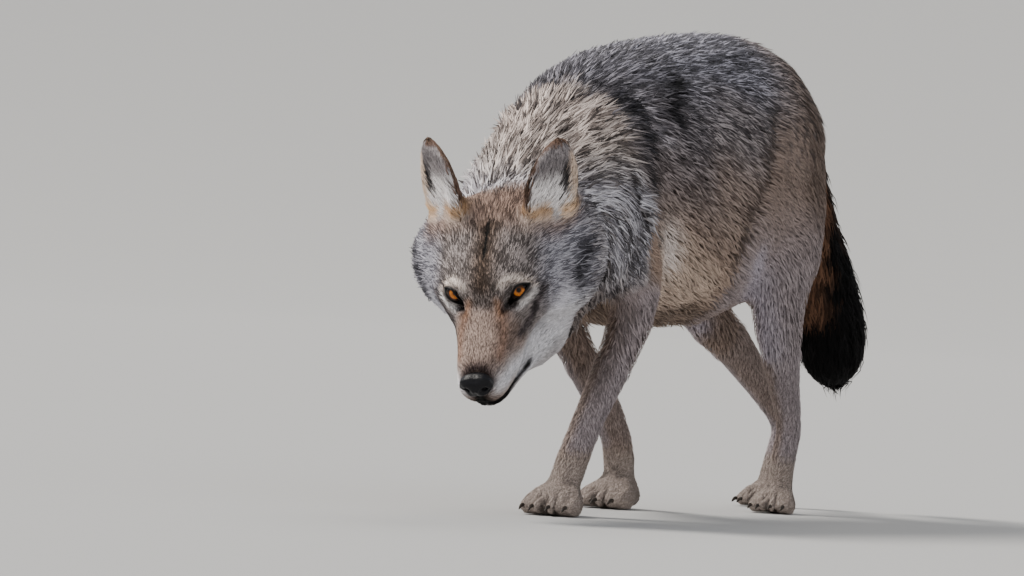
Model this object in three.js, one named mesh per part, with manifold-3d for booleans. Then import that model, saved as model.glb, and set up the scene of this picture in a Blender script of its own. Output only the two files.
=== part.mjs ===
// A grey wolf in a low walking pose, as a still life-size model. Millimetres, +Z up.
// The wolf faces -Y with its left side at +X, and its four soles rest on the plane z = 0.
// Every outline is taken at the tips of the coat.

import * as THREE from 'three';
import { mergeVertices } from 'three/addons/utils/BufferGeometryUtils.js';
import Module from 'manifold-3d';

const wasm = await Module();
wasm.setup();

// Driving dimensions

const GAP = 0.3; // between two parts that touch
const SIDES = { left: 1, right: -1 };
const UP = new THREE.Vector3(0, 0, 1);
const FORWARD = new THREE.Vector3(0, -1, 0);
const LEFTWARD = new THREE.Vector3(1, 0, 0);

// The trunk, from the breast to the rump: how high the back and the belly are, and half the width.
const TRUNK = [
  { y: -478, top: 515, low: 340, half: 72 }, // point of the breast
  { y: -440, top: 564, low: 300, half: 96 },
  { y: -370, top: 610, low: 268, half: 119 }, // shoulders
  { y: -290, top: 637, low: 252, half: 130 },
  { y: -160, top: 659, low: 250, half: 131 }, // ribs
  { y: -20, top: 675, low: 262, half: 128 },
  { y: 90, top: 680, low: 290, half: 118 }, // loins
  { y: 180, top: 664, low: 326, half: 105 }, // hips
  { y: 245, top: 624, low: 364, half: 85 },
  { y: 295, top: 574, low: 400, half: 58 },
  { y: 322, top: 526, low: 436, half: 30 }, // seat
];

// The neck with its ruff, from inside the shoulders to the back of the skull.
const NECK = [
  { at: [2, -330, 450], half: 124, up: 165, down: 165 },
  { at: [16, -420, 428], half: 124, up: 146, down: 142 },
  { at: [36, -505, 398], half: 123, up: 128, down: 138 },
  { at: [52, -575, 370], half: 120, up: 112, down: 134 },
  { at: [60, -625, 350], half: 100, up: 82, down: 114 },
];

// The head is drawn level, with the middle of the eye line at its origin, and then set in its pose.
const HEAD = { at: [60, -711, 293], turn: 12, nod: 47, tip: 6 }; // degrees: to its left, down, left side up
const SKULL = [
  { y: -38, top: -2, low: -74, half: 38 },
  { y: -18, top: 11, low: -90, half: 53 }, // stop
  { y: 6, top: 30, low: -98, half: 69 }, // brow
  { y: 40, top: 46, low: -108, half: 93 }, // forehead and cheeks
  { y: 80, top: 56, low: -134, half: 121 },
  { y: 120, top: 54, low: -138, half: 126 }, // crown
  { y: 160, top: 36, low: -124, half: 108 },
  { y: 185, top: 10, low: -92, half: 56 },
];
const MUZZLE = [
  { y: -128, top: -25, low: -70, half: 22 }, // behind the nose leather
  { y: -112, top: -16, low: -86, half: 32 },
  { y: -85, top: -11, low: -92, half: 38 },
  { y: -50, top: -5, low: -96, half: 44 },
  { y: -15, top: 8, low: -94, half: 52 },
  { y: 20, top: 10, low: -94, half: 60 },
];
const JAW = [
  { y: -116, top: -74, low: -95, half: 17 }, // chin
  { y: -98, top: -70, low: -106, half: 26 },
  { y: -60, top: -66, low: -118, half: 37 },
  { y: -15, top: -64, low: -138, half: 50 },
  { y: 35, top: -60, low: -174, half: 74 },
  { y: 85, top: -60, low: -200, half: 92 }, // throat
  { y: 125, top: -60, low: -196, half: 94 },
];
const LIPS = { front: -80, corner: -86, back: -46, frontY: -122 }; // the line between the lips, from the side
const CHEEK = { x: 76, y: 96, z: -40, half: 40, rise: 44, drop: 92, long: 150, lean: 0.3 }; // the ruff beside the jaw
const LOBE_STATIONS = [-0.5, -0.38, -0.1, 0.2, 0.42, 0.5]; // along a cheek or a brow
const LOBE_END = 0.2; // a lobe's width at its ends, against its middle
const BROW = { x: 34, y: 4, z: 13, half: 17, rise: 7, drop: 10, long: 44, lean: 0.4 };
const NOSE = { y: -131, z: -36, half: 24, rise: 17, drop: 17, long: 15 };
const NOSTRIL = { x: 11.5, z: -38, radius: 4.4, deep: 9 };
const EYE = { x: 43, y: 2, z: -1, radius: 12.5, socketHalf: 15, socketRise: 9.5, socketDeep: 10 };
const EAR = { y: 106, z: 34, half: 38, thick: 15, back: 40, open: 30 };
const EARS = {
  left: { x: 75, long: 99, spread: 18 }, // spread is the angle by which an ear leans out
  right: { x: 61, long: 108, spread: 16 },
};
const EAR_OUTLINE = [[0, 0.86], [0.2, 1], [0.42, 0.99], [0.65, 0.86], [0.85, 0.6], [1, 0.26]]; // along it, half width
const EAR_LEAF = { width: 1, long: 1, fore: 1, aft: 1, wall: 2, forwards: 0 };
const EAR_HOLLOW = { width: 0.76, long: 0.9, fore: 1.5, aft: 0.35, wall: 1.5, forwards: 0.75 }; // shares of the leaf

// The tail, from its root to its tip.
const TAIL = [
  { at: [0, 282, 572], half: 30 },
  { at: [1, 318, 540], half: 33 },
  { at: [3, 334, 474], half: 34 },
  { at: [6, 366, 398], half: 38 },
  { at: [10, 422, 320], half: 43 },
  { at: [13, 452, 252], half: 43 },
  { at: [15, 460, 214], half: 33 },
  { at: [16, 462, 195], half: 15 },
];

// Each leg is a row of joints from the body down to the foot. x is the distance out from the midline,
// half is half the width seen from in front, fore and aft are half the depth seen from the side.
const FORE_LEFT = [
  { name: 'shoulder', x: 80, y: -366, z: 455, half: 44, fore: 74, aft: 88 },
  { name: 'arm', x: 96, y: -366, z: 350, half: 42, fore: 60, aft: 64 },
  { name: 'elbow', x: 90, y: -352, z: 272, half: 35, fore: 43, aft: 40 },
  { name: 'forearm', x: 83, y: -380, z: 206, half: 28, fore: 30, aft: 30 },
  { name: 'wrist', x: 70, y: -420, z: 126, half: 23, fore: 25, aft: 24 },
  { name: 'pastern', x: 62, y: -447, z: 66, half: 25, fore: 24, aft: 22 },
  { name: 'foot', x: 60, y: -460, z: 34, half: 24, fore: 24, aft: 18 },
];
const FORE_RIGHT = [
  { name: 'shoulder', x: 80, y: -348, z: 455, half: 44, fore: 74, aft: 88 },
  { name: 'arm', x: 94, y: -304, z: 350, half: 42, fore: 62, aft: 64 },
  { name: 'elbow', x: 86, y: -228, z: 270, half: 34, fore: 44, aft: 38 },
  { name: 'forearm', x: 74, y: -170, z: 204, half: 28, fore: 30, aft: 29 },
  { name: 'wrist', x: 56, y: -102, z: 120, half: 23, fore: 25, aft: 23 },
  { name: 'pastern', x: 50, y: -84, z: 64, half: 25, fore: 22, aft: 24 },
  { name: 'foot', x: 49, y: -86, z: 34, half: 24, fore: 22, aft: 20 },
];
const HIND_LEFT = [
  { name: 'haunch', x: 52, y: 178, z: 510, half: 50, fore: 98, aft: 98 },
  { name: 'thigh', x: 70, y: 148, z: 400, half: 50, fore: 98, aft: 100 },
  { name: 'stifle', x: 83, y: 118, z: 312, half: 40, fore: 60, aft: 66 },
  { name: 'shank', x: 78, y: 152, z: 226, half: 28, fore: 38, aft: 38 },
  { name: 'shin', x: 70, y: 194, z: 162, half: 21, fore: 26, aft: 26 },
  { name: 'hock', x: 66, y: 218, z: 120, half: 19, fore: 23, aft: 25 },
  { name: 'cannon', x: 66, y: 203, z: 70, half: 20, fore: 20, aft: 20 },
  { name: 'foot', x: 67, y: 198, z: 34, half: 21, fore: 22, aft: 18 },
];
const HIND_RIGHT = [
  { name: 'haunch', x: 52, y: 186, z: 510, half: 50, fore: 98, aft: 94 },
  { name: 'thigh', x: 74, y: 192, z: 400, half: 50, fore: 96, aft: 94 },
  { name: 'stifle', x: 100, y: 220, z: 308, half: 38, fore: 70, aft: 56 },
  { name: 'shank', x: 84, y: 304, z: 244, half: 29, fore: 40, aft: 46 },
  { name: 'shin', x: 60, y: 388, z: 170, half: 21, fore: 26, aft: 30 },
  { name: 'hock', x: 46, y: 434, z: 120, half: 19, fore: 23, aft: 24 },
  { name: 'cannon', x: 45, y: 414, z: 70, half: 20, fore: 20, aft: 20 },
  { name: 'foot', x: 45, y: 400, z: 34, half: 22, fore: 22, aft: 18 },
];

// The paws: the size over the coat, where the pad's middle is, and how far the toes turn out.
const PAWS = {
  fore: { long: 112, wide: 90, high: 52, claw: 17 },
  hind: { long: 94, wide: 72, high: 45, claw: 15 },
};
const PAD = [
  { y: 0.4, top: 0.62, low: 0, half: 0.2 }, // y, top and half are shares of the paw, low is in millimetres
  { y: 0.26, top: 0.92, low: -3, half: 0.3 },
  { y: 0.05, top: 1, low: -3, half: 0.37 },
  { y: -0.16, top: 0.82, low: -3, half: 0.4 },
  { y: -0.3, top: 0.5, low: 0, half: 0.28 },
];
const TOE = [
  { y: 0.34, top: 0.8, low: 0, half: 0.116, inwards: 0.8 },
  { y: 0.16, top: 0.66, low: -3, half: 0.145 },
  { y: 0.02, top: 0.5, low: -2.5, half: 0.133 },
  { y: -0.08, top: 0.3, low: 4, half: 0.073 },
];
const TOE_DOME = 2.4; // the rounded end of a toe
const TOES = [
  { name: 'inner', across: -0.34, reach: 0.3 },
  { name: 'middle_inner', across: -0.13, reach: 0.42 },
  { name: 'middle_outer', across: 0.13, reach: 0.42 },
  { name: 'outer', across: 0.34, reach: 0.3 },
];
const CLAW = [
  { along: 0, height: 0.24, half: 3.6, fore: 4.2, aft: 4.2 }, // along and height are shares of the claw and the paw
  { along: 0.5, height: 0.24, half: 2.9, fore: 3.4, aft: 3.2 },
  { along: 1, height: 0.11, half: 0.9, fore: 1.2, aft: 1.2 },
];
const LEGS = {
  fore_left: { side: 'left', joints: FORE_LEFT, paw: PAWS.fore, centre: [59, -472], turn: 6, top: [62, -350, 266] },
  fore_right: { side: 'right', joints: FORE_RIGHT, paw: PAWS.fore, centre: [-49, -98], turn: -6, top: [-62, -250, 262] },
  hind_left: { side: 'left', joints: HIND_LEFT, paw: PAWS.hind, centre: [68, 186], turn: 7, top: [58, 170, 350] },
  hind_right: { side: 'right', joints: HIND_RIGHT, paw: PAWS.hind, centre: [-46, 386], turn: -5, top: [-62, 240, 350] },
};
const LEG_CUT_TILT = 35; // degrees by which the cut at the top of a leg rises outwards
const UPPER_LEG_CUT = { fore: 'forearm', hind: 'shank' }; // the lower leg starts at this joint
const FOOT_CUT = { fore: 78, hind: 72 }; // height at which the foot starts

// Cuts across the neck and the tail: a point on each and the way it faces.
const NECK_CUT = { at: [0, -425, 440], facing: [0.1, -1, -0.35] };
const HEAD_CUT = { at: [56, -606, 352], facing: [0.26, -1, -0.35] };
const TAIL_CUT = { at: [0, 322, 534], facing: [0, 0.66, -0.75] };

const COLOURS = {
  grey: 0x8a8378, cream: 0xb9aa92, dark: 0x6f675c, rufous: 0x8a6a4a, taupe: 0x9a8f82, pale: 0xb8b0a4,
  leather: 0x171413, amber: 0xb8762a, horn: 0x2c2622,
};

// Solids

const vector = (point) => new THREE.Vector3(...point);

// A closed solid through a row of oval sections. `facing` is the side that `fore` is measured to.
function loft(sections, { facing, rings, sides, square = 2, cap = 0.4, grow = 0 }) {
  const path = new THREE.CatmullRomCurve3(sections.map((s) => vector(s.at)), false, 'catmullrom', 0.5);
  const girths = sections.map((s) => new THREE.Vector3(s.half, s.fore, s.aft));
  const girth = new THREE.CatmullRomCurve3(girths, false, 'catmullrom', 0.5);
  const points = [];
  const faces = [];
  const rounded = (value) => Math.sign(value) * Math.abs(value) ** (2 / square);
  for (let ring = 0; ring <= rings; ring += 1) {
    const centre = path.getPoint(ring / rings);
    const along = path.getTangent(ring / rings);
    const face = facing.clone().addScaledVector(along, -facing.dot(along)).normalize();
    const side = face.clone().cross(along);
    const { x: half, y: fore, z: aft } = girth.getPoint(ring / rings).addScalar(grow);
    for (let step = 0; step < sides; step += 1) {
      const angle = (2 * Math.PI * step) / sides;
      const across = rounded(Math.cos(angle)) * half;
      const out = rounded(Math.sin(angle)) * (Math.sin(angle) > 0 ? fore : aft);
      points.push(centre.clone().addScaledVector(side, across).addScaledVector(face, out));
    }
    if (ring === rings) continue;
    for (let step = 0; step < sides; step += 1) {
      const here = ring * sides + step;
      const next = ring * sides + ((step + 1) % sides);
      faces.push(here, next, here + sides, next, next + sides, here + sides);
    }
  }
  for (const [t, ring, outwards] of [[0, 0, -1], [1, rings, 1]]) {
    const end = girth.getPoint(t);
    const reach = cap * Math.min(end.x, (end.y + end.z) / 2) + grow;
    points.push(path.getPoint(t).addScaledVector(path.getTangent(t), outwards * reach));
    for (let step = 0; step < sides; step += 1) {
      const here = ring * sides + step;
      const next = ring * sides + ((step + 1) % sides);
      faces.push(points.length - 1, ...(outwards > 0 ? [here, next] : [next, here]));
    }
  }
  const geometry = new THREE.BufferGeometry();
  geometry.setAttribute('position', new THREE.BufferAttribute(new Float32Array(points.flatMap((p) => p.toArray())), 3));
  geometry.setIndex(faces);
  return geometry;
}

function solid(geometry, matrix = new THREE.Matrix4()) {
  geometry.applyMatrix4(matrix);
  const vertProperties = Float32Array.from(geometry.getAttribute('position').array);
  const triVerts = Uint32Array.from(geometry.getIndex().array);
  return new wasm.Manifold(new wasm.Mesh({ numProp: 3, vertProperties, triVerts }));
}

const joined = (solids) => solids.reduce((whole, part) => whole.add(part));

function block(width, length, height, matrix) {
  const box = new THREE.BoxGeometry(width, length, height);
  box.deleteAttribute('normal');
  box.deleteAttribute('uv');
  return solid(mergeVertices(box), matrix);
}

// Everything on the side of a plane that `facing` points to, as one large block.
function beyond({ at, facing }, shift = 0) {
  const size = 4000;
  const way = vector(facing).normalize();
  const turn = new THREE.Matrix4().makeRotationFromQuaternion(new THREE.Quaternion().setFromUnitVectors(UP, way));
  return block(size, size, size, turn.setPosition(vector(at).addScaledVector(way, size / 2 + shift)));
}

// Crumbs left where two faces nearly meet are dropped, so that a part is one body.
const largest = (whole) => whole.decompose().sort((a, b) => b.volume() - a.volume())[0];

const level = (s) => {
  const middle = (s.top + s.low) / 2;
  return { at: [s.x ?? 0, s.y, middle], half: s.half, fore: s.top - middle, aft: middle - s.low };
};

// Body

const headPose = new THREE.Matrix4().compose(
  vector(HEAD.at),
  new THREE.Quaternion().setFromEuler(new THREE.Euler(
    THREE.MathUtils.degToRad(HEAD.nod), THREE.MathUtils.degToRad(-HEAD.tip), THREE.MathUtils.degToRad(HEAD.turn), 'ZYX',
  )),
  new THREE.Vector3(1, 1, 1),
);

const trunkForm = (grow = 0) => solid(loft(TRUNK.map(level), { facing: UP, rings: 14, sides: 18, square: 2.15, grow }));
const neckForm = (grow = 0) => solid(loft(
  NECK.map((s) => ({ at: s.at, half: s.half, fore: s.up, aft: s.down })),
  { facing: UP, rings: 6, sides: 18, grow },
));
const tailForm = () => solid(loft(
  TAIL.map((s) => ({ at: s.at, half: s.half, fore: s.half, aft: s.half })),
  { facing: LEFTWARD, rings: 10, sides: 12 },
));

// A lobe is a short oval form that lies lengthwise on the head.
function lobe({ x, y, z, half, rise, drop, long, lean }, side, grow) {
  const sections = LOBE_STATIONS.map((part) => {
    const size = Math.max(LOBE_END, Math.sqrt(1 - (2 * part) ** 2));
    return { at: [side * (x + lean * part * long), y + part * long, z], half: half * size, fore: rise * size, aft: drop * size };
  });
  return solid(loft(sections, { facing: UP, rings: 6, sides: 10, grow }), headPose);
}

function headForm(grow = 0) {
  const forms = [
    solid(loft(SKULL.map(level), { facing: UP, rings: 11, sides: 18, grow }), headPose),
    solid(loft(MUZZLE.map(level), { facing: UP, rings: 7, sides: 16, square: 2.5, grow }), headPose),
    solid(loft(JAW.map(level), { facing: UP, rings: 6, sides: 12, grow }), headPose),
  ];
  for (const side of Object.values(SIDES)) {
    forms.push(lobe(CHEEK, side, grow));
    forms.push(lobe(BROW, side, grow));
  }
  return joined(forms);
}

// The ear stands on the skull as a leaf with a hollow front that is turned outwards.
function earForm(name, { width, long, fore, aft, wall, forwards }) {
  const side = SIDES[name];
  const { x, long: length, spread } = EARS[name];
  const sections = EAR_OUTLINE.map(([along, share]) => ({
    at: [0, -EAR.thick * forwards, along * length * long],
    half: EAR.half * share * width,
    fore: EAR.thick * share * fore,
    aft: EAR.thick * share * aft + wall,
  }));
  const stand = new THREE.Matrix4().makeRotationFromEuler(new THREE.Euler(
    THREE.MathUtils.degToRad(-EAR.back), THREE.MathUtils.degToRad(side * spread), THREE.MathUtils.degToRad(side * EAR.open), 'YXZ',
  ));
  const place = new THREE.Matrix4().makeTranslation(side * x, EAR.y, EAR.z);
  return solid(
    loft(sections, { facing: FORWARD, rings: 5, sides: 10, cap: 0.8 }),
    headPose.clone().multiply(place).multiply(stand),
  );
}

function ball(centre, scale, sides, matrix) {
  const sections = [];
  const steps = 5;
  for (let step = 0; step <= steps; step += 1) {
    const angle = (Math.PI * (step + 0.35)) / (steps + 0.7);
    const ring = Math.sin(angle);
    sections.push({
      at: [centre[0], centre[1] - Math.cos(angle) * scale[1], centre[2]],
      half: ring * scale[0], fore: ring * scale[2], aft: ring * scale[2],
    });
  }
  return solid(loft(sections, { facing: UP, rings: steps, sides }), matrix);
}

const eyeForm = (side, grow = 0) => {
  const radius = EYE.radius + grow;
  return ball([side * EYE.x, EYE.y, EYE.z], [radius, radius, radius], 10, headPose);
};
const socketForm = (side) => ball(
  [side * (EYE.x + 1), EYE.y - EYE.radius + 1, EYE.z],
  [EYE.socketHalf, EYE.socketDeep, EYE.socketRise],
  10,
  headPose,
);
const noseForm = (grow = 0) => ball(
  [0, NOSE.y, NOSE.z],
  [NOSE.half + grow, NOSE.long + grow, NOSE.rise + grow],
  12,
  headPose,
);
const nostrilForm = (side) => ball(
  [side * NOSTRIL.x, NOSE.y - NOSE.long + 2, NOSTRIL.z],
  [NOSTRIL.radius, NOSTRIL.deep, NOSTRIL.radius],
  6,
  headPose,
);

// Everything under the line of the lips, as far back as the corner of the mouth.
function underLips(grow = 0) {
  const [width, length, height] = [240, 240, 160];
  const slope = Math.atan2(LIPS.front - LIPS.corner, LIPS.back - LIPS.frontY);
  const corner = new THREE.Matrix4().makeTranslation(0, LIPS.back + grow, LIPS.corner + grow);
  const tilt = new THREE.Matrix4().makeRotationX(-slope);
  const underneath = new THREE.Matrix4().makeTranslation(0, -length / 2, -height / 2);
  return block(width, length, height, headPose.clone().multiply(corner).multiply(tilt).multiply(underneath));
}

// Legs

function legForm({ side, joints }) {
  const sign = SIDES[side];
  const sections = joints.map((j) => ({ at: [sign * j.x, j.y, j.z], half: j.half, fore: j.fore, aft: j.aft }));
  return solid(loft(sections, { facing: FORWARD, rings: 11, sides: 10 }));
}

function pawPlace({ centre, turn }) {
  return new THREE.Matrix4().makeRotationZ(THREE.MathUtils.degToRad(turn)).setPosition(centre[0], centre[1], 0);
}

// A part of the paw from its stations, which are shares of the paw's length, height and width.
function pawLobe(leg, stations, { across = 0, reach = 0, rings, sides }) {
  const { long, wide, high } = leg.paw;
  const sections = stations.map((s) => level({
    x: across * wide * (s.inwards ?? 1), y: (s.y - reach) * long, top: s.top * high, low: s.low, half: s.half * wide,
  }));
  return solid(loft(sections, { facing: UP, rings, sides }), pawPlace(leg));
}

// The paw is a broad pad with four toes. The two middle toes reach furthest.
function pawForm(leg) {
  const forms = [pawLobe(leg, PAD, { rings: 4, sides: 8 })];
  for (const toe of TOES) forms.push(pawLobe(leg, TOE, { across: toe.across, reach: toe.reach, rings: 3, sides: 6 }));
  return joined(forms);
}

// A claw grows from the very tip of its toe and curves down, clear of the floor.
function clawForm(leg, toe) {
  const { long, wide, high, claw } = leg.paw;
  const root = (TOE[TOE.length - 1].y - toe.reach) * long - TOE_DOME - GAP;
  const sections = CLAW.map((s) => ({
    at: [toe.across * wide, root - s.along * claw, s.height * high], half: s.half, fore: s.fore, aft: s.aft,
  }));
  return solid(loft(sections, { facing: UP, rings: 2, sides: 5, cap: 0 }), pawPlace(leg));
}

// Putting the wolf together

const group = new THREE.Group();

function add(name, whole, colour, roughness = 0.9) {
  const { vertProperties, triVerts } = largest(whole).getMesh();
  const geometry = new THREE.BufferGeometry();
  geometry.setAttribute('position', new THREE.BufferAttribute(Float32Array.from(vertProperties), 3));
  geometry.setIndex(Array.from(triVerts));
  geometry.computeVertexNormals();
  const mesh = new THREE.Mesh(geometry, new THREE.MeshStandardMaterial({ color: colour, roughness, metalness: 0 }));
  mesh.name = name;
  group.add(mesh);
}

const floor = beyond({ at: [0, 0, 0], facing: [0, 0, -1] });
const trunkAndNeckGrown = trunkForm(GAP).add(neckForm(GAP));

let body = joined([trunkForm(), neckForm(), headForm()]);
for (const [name, leg] of Object.entries(LEGS)) {
  const kind = name.split('_')[0];
  const sign = SIDES[leg.side];
  const tilt = THREE.MathUtils.degToRad(LEG_CUT_TILT);
  const top = { at: leg.top, facing: [sign * Math.sin(tilt), 0, -Math.cos(tilt)] };
  const form = legForm(leg);
  body = body.add(form.subtract(beyond(top, -GAP)));

  const limb = form.intersect(beyond(top)).subtract(trunkAndNeckGrown);
  const joints = leg.joints.map((j) => ({ ...j, at: [sign * j.x, j.y, j.z] }));
  const index = joints.findIndex((j) => j.name === UPPER_LEG_CUT[kind]);
  const along = vector(joints[index + 1].at).sub(vector(joints[index - 1].at)).toArray();
  const knee = { at: joints[index].at, facing: along };
  const ankle = { at: [0, 0, FOOT_CUT[kind]], facing: [0, 0, -1] };
  add(`${name}_upper`, limb.subtract(beyond(knee, -GAP)), COLOURS.taupe);
  add(`${name}_lower`, limb.intersect(beyond(knee)).subtract(beyond(ankle, -GAP)), COLOURS.taupe);

  const paw = limb.intersect(beyond(ankle)).add(pawForm(leg)).subtract(floor).intersect(beyond(ankle));
  add(`${name}_paw`, paw, COLOURS.pale);
  for (const toe of TOES) add(`${name}_claw_${toe.name}`, clawForm(leg, toe), COLOURS.horn, 0.45);
}

const tail = tailForm();
body = body.add(tail.subtract(beyond(TAIL_CUT, -GAP)));
add('tail', tail.intersect(beyond(TAIL_CUT)).subtract(trunkForm(GAP)), COLOURS.rufous);

let head = body.intersect(beyond(HEAD_CUT));
for (const [name, side] of Object.entries(SIDES)) {
  head = head.subtract(socketForm(side)).subtract(eyeForm(side, GAP));
  add(`eye_${name}`, eyeForm(side), COLOURS.amber, 0.1);
  const ear = earForm(name, EAR_LEAF).subtract(earForm(name, EAR_HOLLOW)).subtract(headForm(GAP)).subtract(neckForm(GAP));
  add(`ear_${name}`, ear, COLOURS.rufous);
}
head = head.subtract(noseForm(GAP));
let nose = noseForm();
for (const side of Object.values(SIDES)) nose = nose.subtract(nostrilForm(side));
add('nose', nose, COLOURS.leather, 0.4);
add('jaw', head.intersect(underLips()), COLOURS.pale);
add('head', head.subtract(underLips(GAP)), COLOURS.grey);
add('neck', body.subtract(beyond(HEAD_CUT, -GAP)).intersect(beyond(NECK_CUT)), COLOURS.cream);
add('trunk', body.subtract(beyond(NECK_CUT, -GAP)), COLOURS.grey);

// The origin is under the middle of the whole wolf, on the floor.
group.updateMatrixWorld(true);
const box = new THREE.Box3().setFromObject(group);
const middle = box.getCenter(new THREE.Vector3());
group.children.forEach((mesh) => mesh.position.set(-middle.x, -middle.y, -box.min.z));

export default group;
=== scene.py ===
# A grey wolf in a low walking pose, life size, as a still museum model: the camera, floor and light first,
# then the skin, the coat lock by lock, the eyes, the nose and the claws. Metres, +Z up; the wolf faces -Y.

import math

import bmesh
import bpy
import numpy as np
from mathutils import Euler, Matrix, Vector
from mathutils.bvhtree import BVHTree
from mathutils.kdtree import KDTree


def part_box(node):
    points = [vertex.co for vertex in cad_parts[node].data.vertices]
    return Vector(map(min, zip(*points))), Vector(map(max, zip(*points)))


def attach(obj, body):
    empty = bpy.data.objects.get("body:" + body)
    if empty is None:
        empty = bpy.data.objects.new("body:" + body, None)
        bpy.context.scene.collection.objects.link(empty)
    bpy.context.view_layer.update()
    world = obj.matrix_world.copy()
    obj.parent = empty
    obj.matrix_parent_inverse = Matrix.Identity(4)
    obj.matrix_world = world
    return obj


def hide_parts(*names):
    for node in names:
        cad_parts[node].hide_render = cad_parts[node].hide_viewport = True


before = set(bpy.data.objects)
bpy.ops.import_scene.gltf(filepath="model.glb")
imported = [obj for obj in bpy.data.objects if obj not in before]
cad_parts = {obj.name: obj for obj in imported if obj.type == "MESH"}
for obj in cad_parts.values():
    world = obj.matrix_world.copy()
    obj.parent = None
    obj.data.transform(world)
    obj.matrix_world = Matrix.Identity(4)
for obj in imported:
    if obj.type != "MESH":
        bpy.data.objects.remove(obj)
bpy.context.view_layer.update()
bpy.ops.object.select_all(action="DESELECT")

# ---- Camera
# A long lens at the height of the wolf's head, a little to its left and tipped slightly to one side.
# It is placed from the middle of the eye line, which is also where the head is measured from.

SIDES = {"left": 1, "right": -1}
HEAD_NOD, HEAD_TIP, HEAD_TURN = (math.radians(angle) for angle in (47, 6, 12))
EYE_BACK, EYE_UP = 0.002, -0.001  # the eyeballs lie this far from the point the head is measured from
CAMERA_TURN = math.radians(28)
CAMERA_DIP = math.radians(0.2)
CAMERA_ROLL = math.radians(3.5)
CAMERA_DISTANCE = 9.0
CAMERA_AIM = Vector((-0.2795, 0.5956, 0.0051))  # from the middle of the eye line
CAMERA_LENS = 224.65  # in millimetres, on a sensor 36 mm wide


def node_middle(name):
    low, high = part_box(name)
    return (low + high) / 2


eye_centres = {side_name: node_middle(f"eye_{side_name}") for side_name in SIDES}
head_turn = Euler((HEAD_NOD, -HEAD_TIP, HEAD_TURN), "XYZ").to_matrix()
head_middle = (eye_centres["left"] + eye_centres["right"]) / 2 - head_turn @ Vector((0, EYE_BACK, EYE_UP))

ahead = Vector((
    -math.sin(CAMERA_TURN) * math.cos(CAMERA_DIP),
    math.cos(CAMERA_TURN) * math.cos(CAMERA_DIP),
    -math.sin(CAMERA_DIP),
))
level = Vector((math.cos(CAMERA_TURN), math.sin(CAMERA_TURN), 0))
upright = level.cross(ahead)
across = math.cos(CAMERA_ROLL) * level + math.sin(CAMERA_ROLL) * upright
above = math.cos(CAMERA_ROLL) * upright - math.sin(CAMERA_ROLL) * level
bpy.ops.object.camera_add(location=head_middle + CAMERA_AIM - CAMERA_DISTANCE * ahead)
camera = bpy.context.object
camera.name = "camera"
camera.rotation_mode = "QUATERNION"
camera.rotation_quaternion = Matrix((across, above, -ahead)).transposed().to_quaternion()
camera.data.lens = CAMERA_LENS
camera.data.sensor_fit = "HORIZONTAL"
camera.data.sensor_width = 36
camera.data.clip_end = 400
bpy.context.scene.camera = camera

# ---- Floor and studio light
# A wide pale floor that sweeps up at its edge, so that no horizon shows, one broad soft light from high on
# the wolf's right, a weak one from the other side and one from behind.

FLOOR_COLOUR = (0.43, 0.43, 0.428, 1)
FLOOR_RADIUS = 24
FLOOR_EDGE = 1  # the last flat metre, before the floor starts to rise
FLOOR_DROP = 0.0006  # keeps the floor clear of the soles
SWEEP_OUT, SWEEP_UP, SWEEP_STEPS = 20, 12, 14
SKY_COLOUR = (0.90, 0.94, 1.0, 1)
SKY_STRENGTH = 0.56
LAMP_COLOUR = (1.0, 0.95, 0.88)
LAMPS = (  # name, where it shines from, spread in degrees and strength
    ("lamp_main", (-1.25, -0.35, 1.6), 20, 4.2),
    ("lamp_fill", (1.0, -1.4, 0.9), 60, 0.45),
    ("lamp_rim", (-0.4, 1.5, 1.2), 25, 0.8),
)


def principled(name, **settings):
    """A new material and its shader, whose sockets are set by name, with _ for a space."""
    material = bpy.data.materials.new(name)
    material.use_nodes = True
    shader = material.node_tree.nodes["Principled BSDF"]
    for socket_name, value in settings.items():
        shader.inputs[socket_name.replace("_", " ")].default_value = value
    return material, shader


bpy.ops.mesh.primitive_circle_add(
    vertices=96, radius=FLOOR_RADIUS, fill_type="NGON", location=(0, 0, -FLOOR_DROP))
floor = bpy.context.object
floor.name = "floor"
bpy.ops.object.mode_set(mode="EDIT")
ring_radius, ring_height = FLOOR_RADIUS, 0
for step in range(SWEEP_STEPS + 1):
    rise_angle = math.pi / 2 * step / SWEEP_STEPS
    next_radius = FLOOR_RADIUS + FLOOR_EDGE + SWEEP_OUT * math.sin(rise_angle)
    next_height = SWEEP_UP * (1 - math.cos(rise_angle))
    bpy.ops.mesh.extrude_edges_move(TRANSFORM_OT_translate={"value": (0, 0, next_height - ring_height)})
    bpy.ops.transform.resize(value=(next_radius / ring_radius, next_radius / ring_radius, 1))
    ring_radius, ring_height = next_radius, next_height
bpy.ops.object.mode_set(mode="OBJECT")
bpy.ops.object.shade_smooth()
floor.data.materials.append(principled("floor_paint", Base_Color=FLOOR_COLOUR, Roughness=0.9)[0])

studio = bpy.data.worlds.new("studio")
studio.use_nodes = True
studio.node_tree.nodes["Background"].inputs["Color"].default_value = SKY_COLOUR
studio.node_tree.nodes["Background"].inputs["Strength"].default_value = SKY_STRENGTH
bpy.context.scene.world = studio

for lamp_name, place, spread, strength in LAMPS:
    bpy.ops.object.light_add(type="SUN", location=place)
    lamp = bpy.context.object
    lamp.name = lamp_name
    lamp.data.angle = math.radians(spread)
    lamp.data.energy = strength
    lamp.data.color = LAMP_COLOUR
    lamp.rotation_mode = "QUATERNION"
    lamp.rotation_quaternion = (-Vector(place)).to_track_quat("-Z", "Y")

# ---- Skin
# One hide over the whole body, with no seam: the flesh of every part joined, smoothed, drawn in by
# the depth of the coat that stands on it, and shaped over the bones and muscles.

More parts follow.
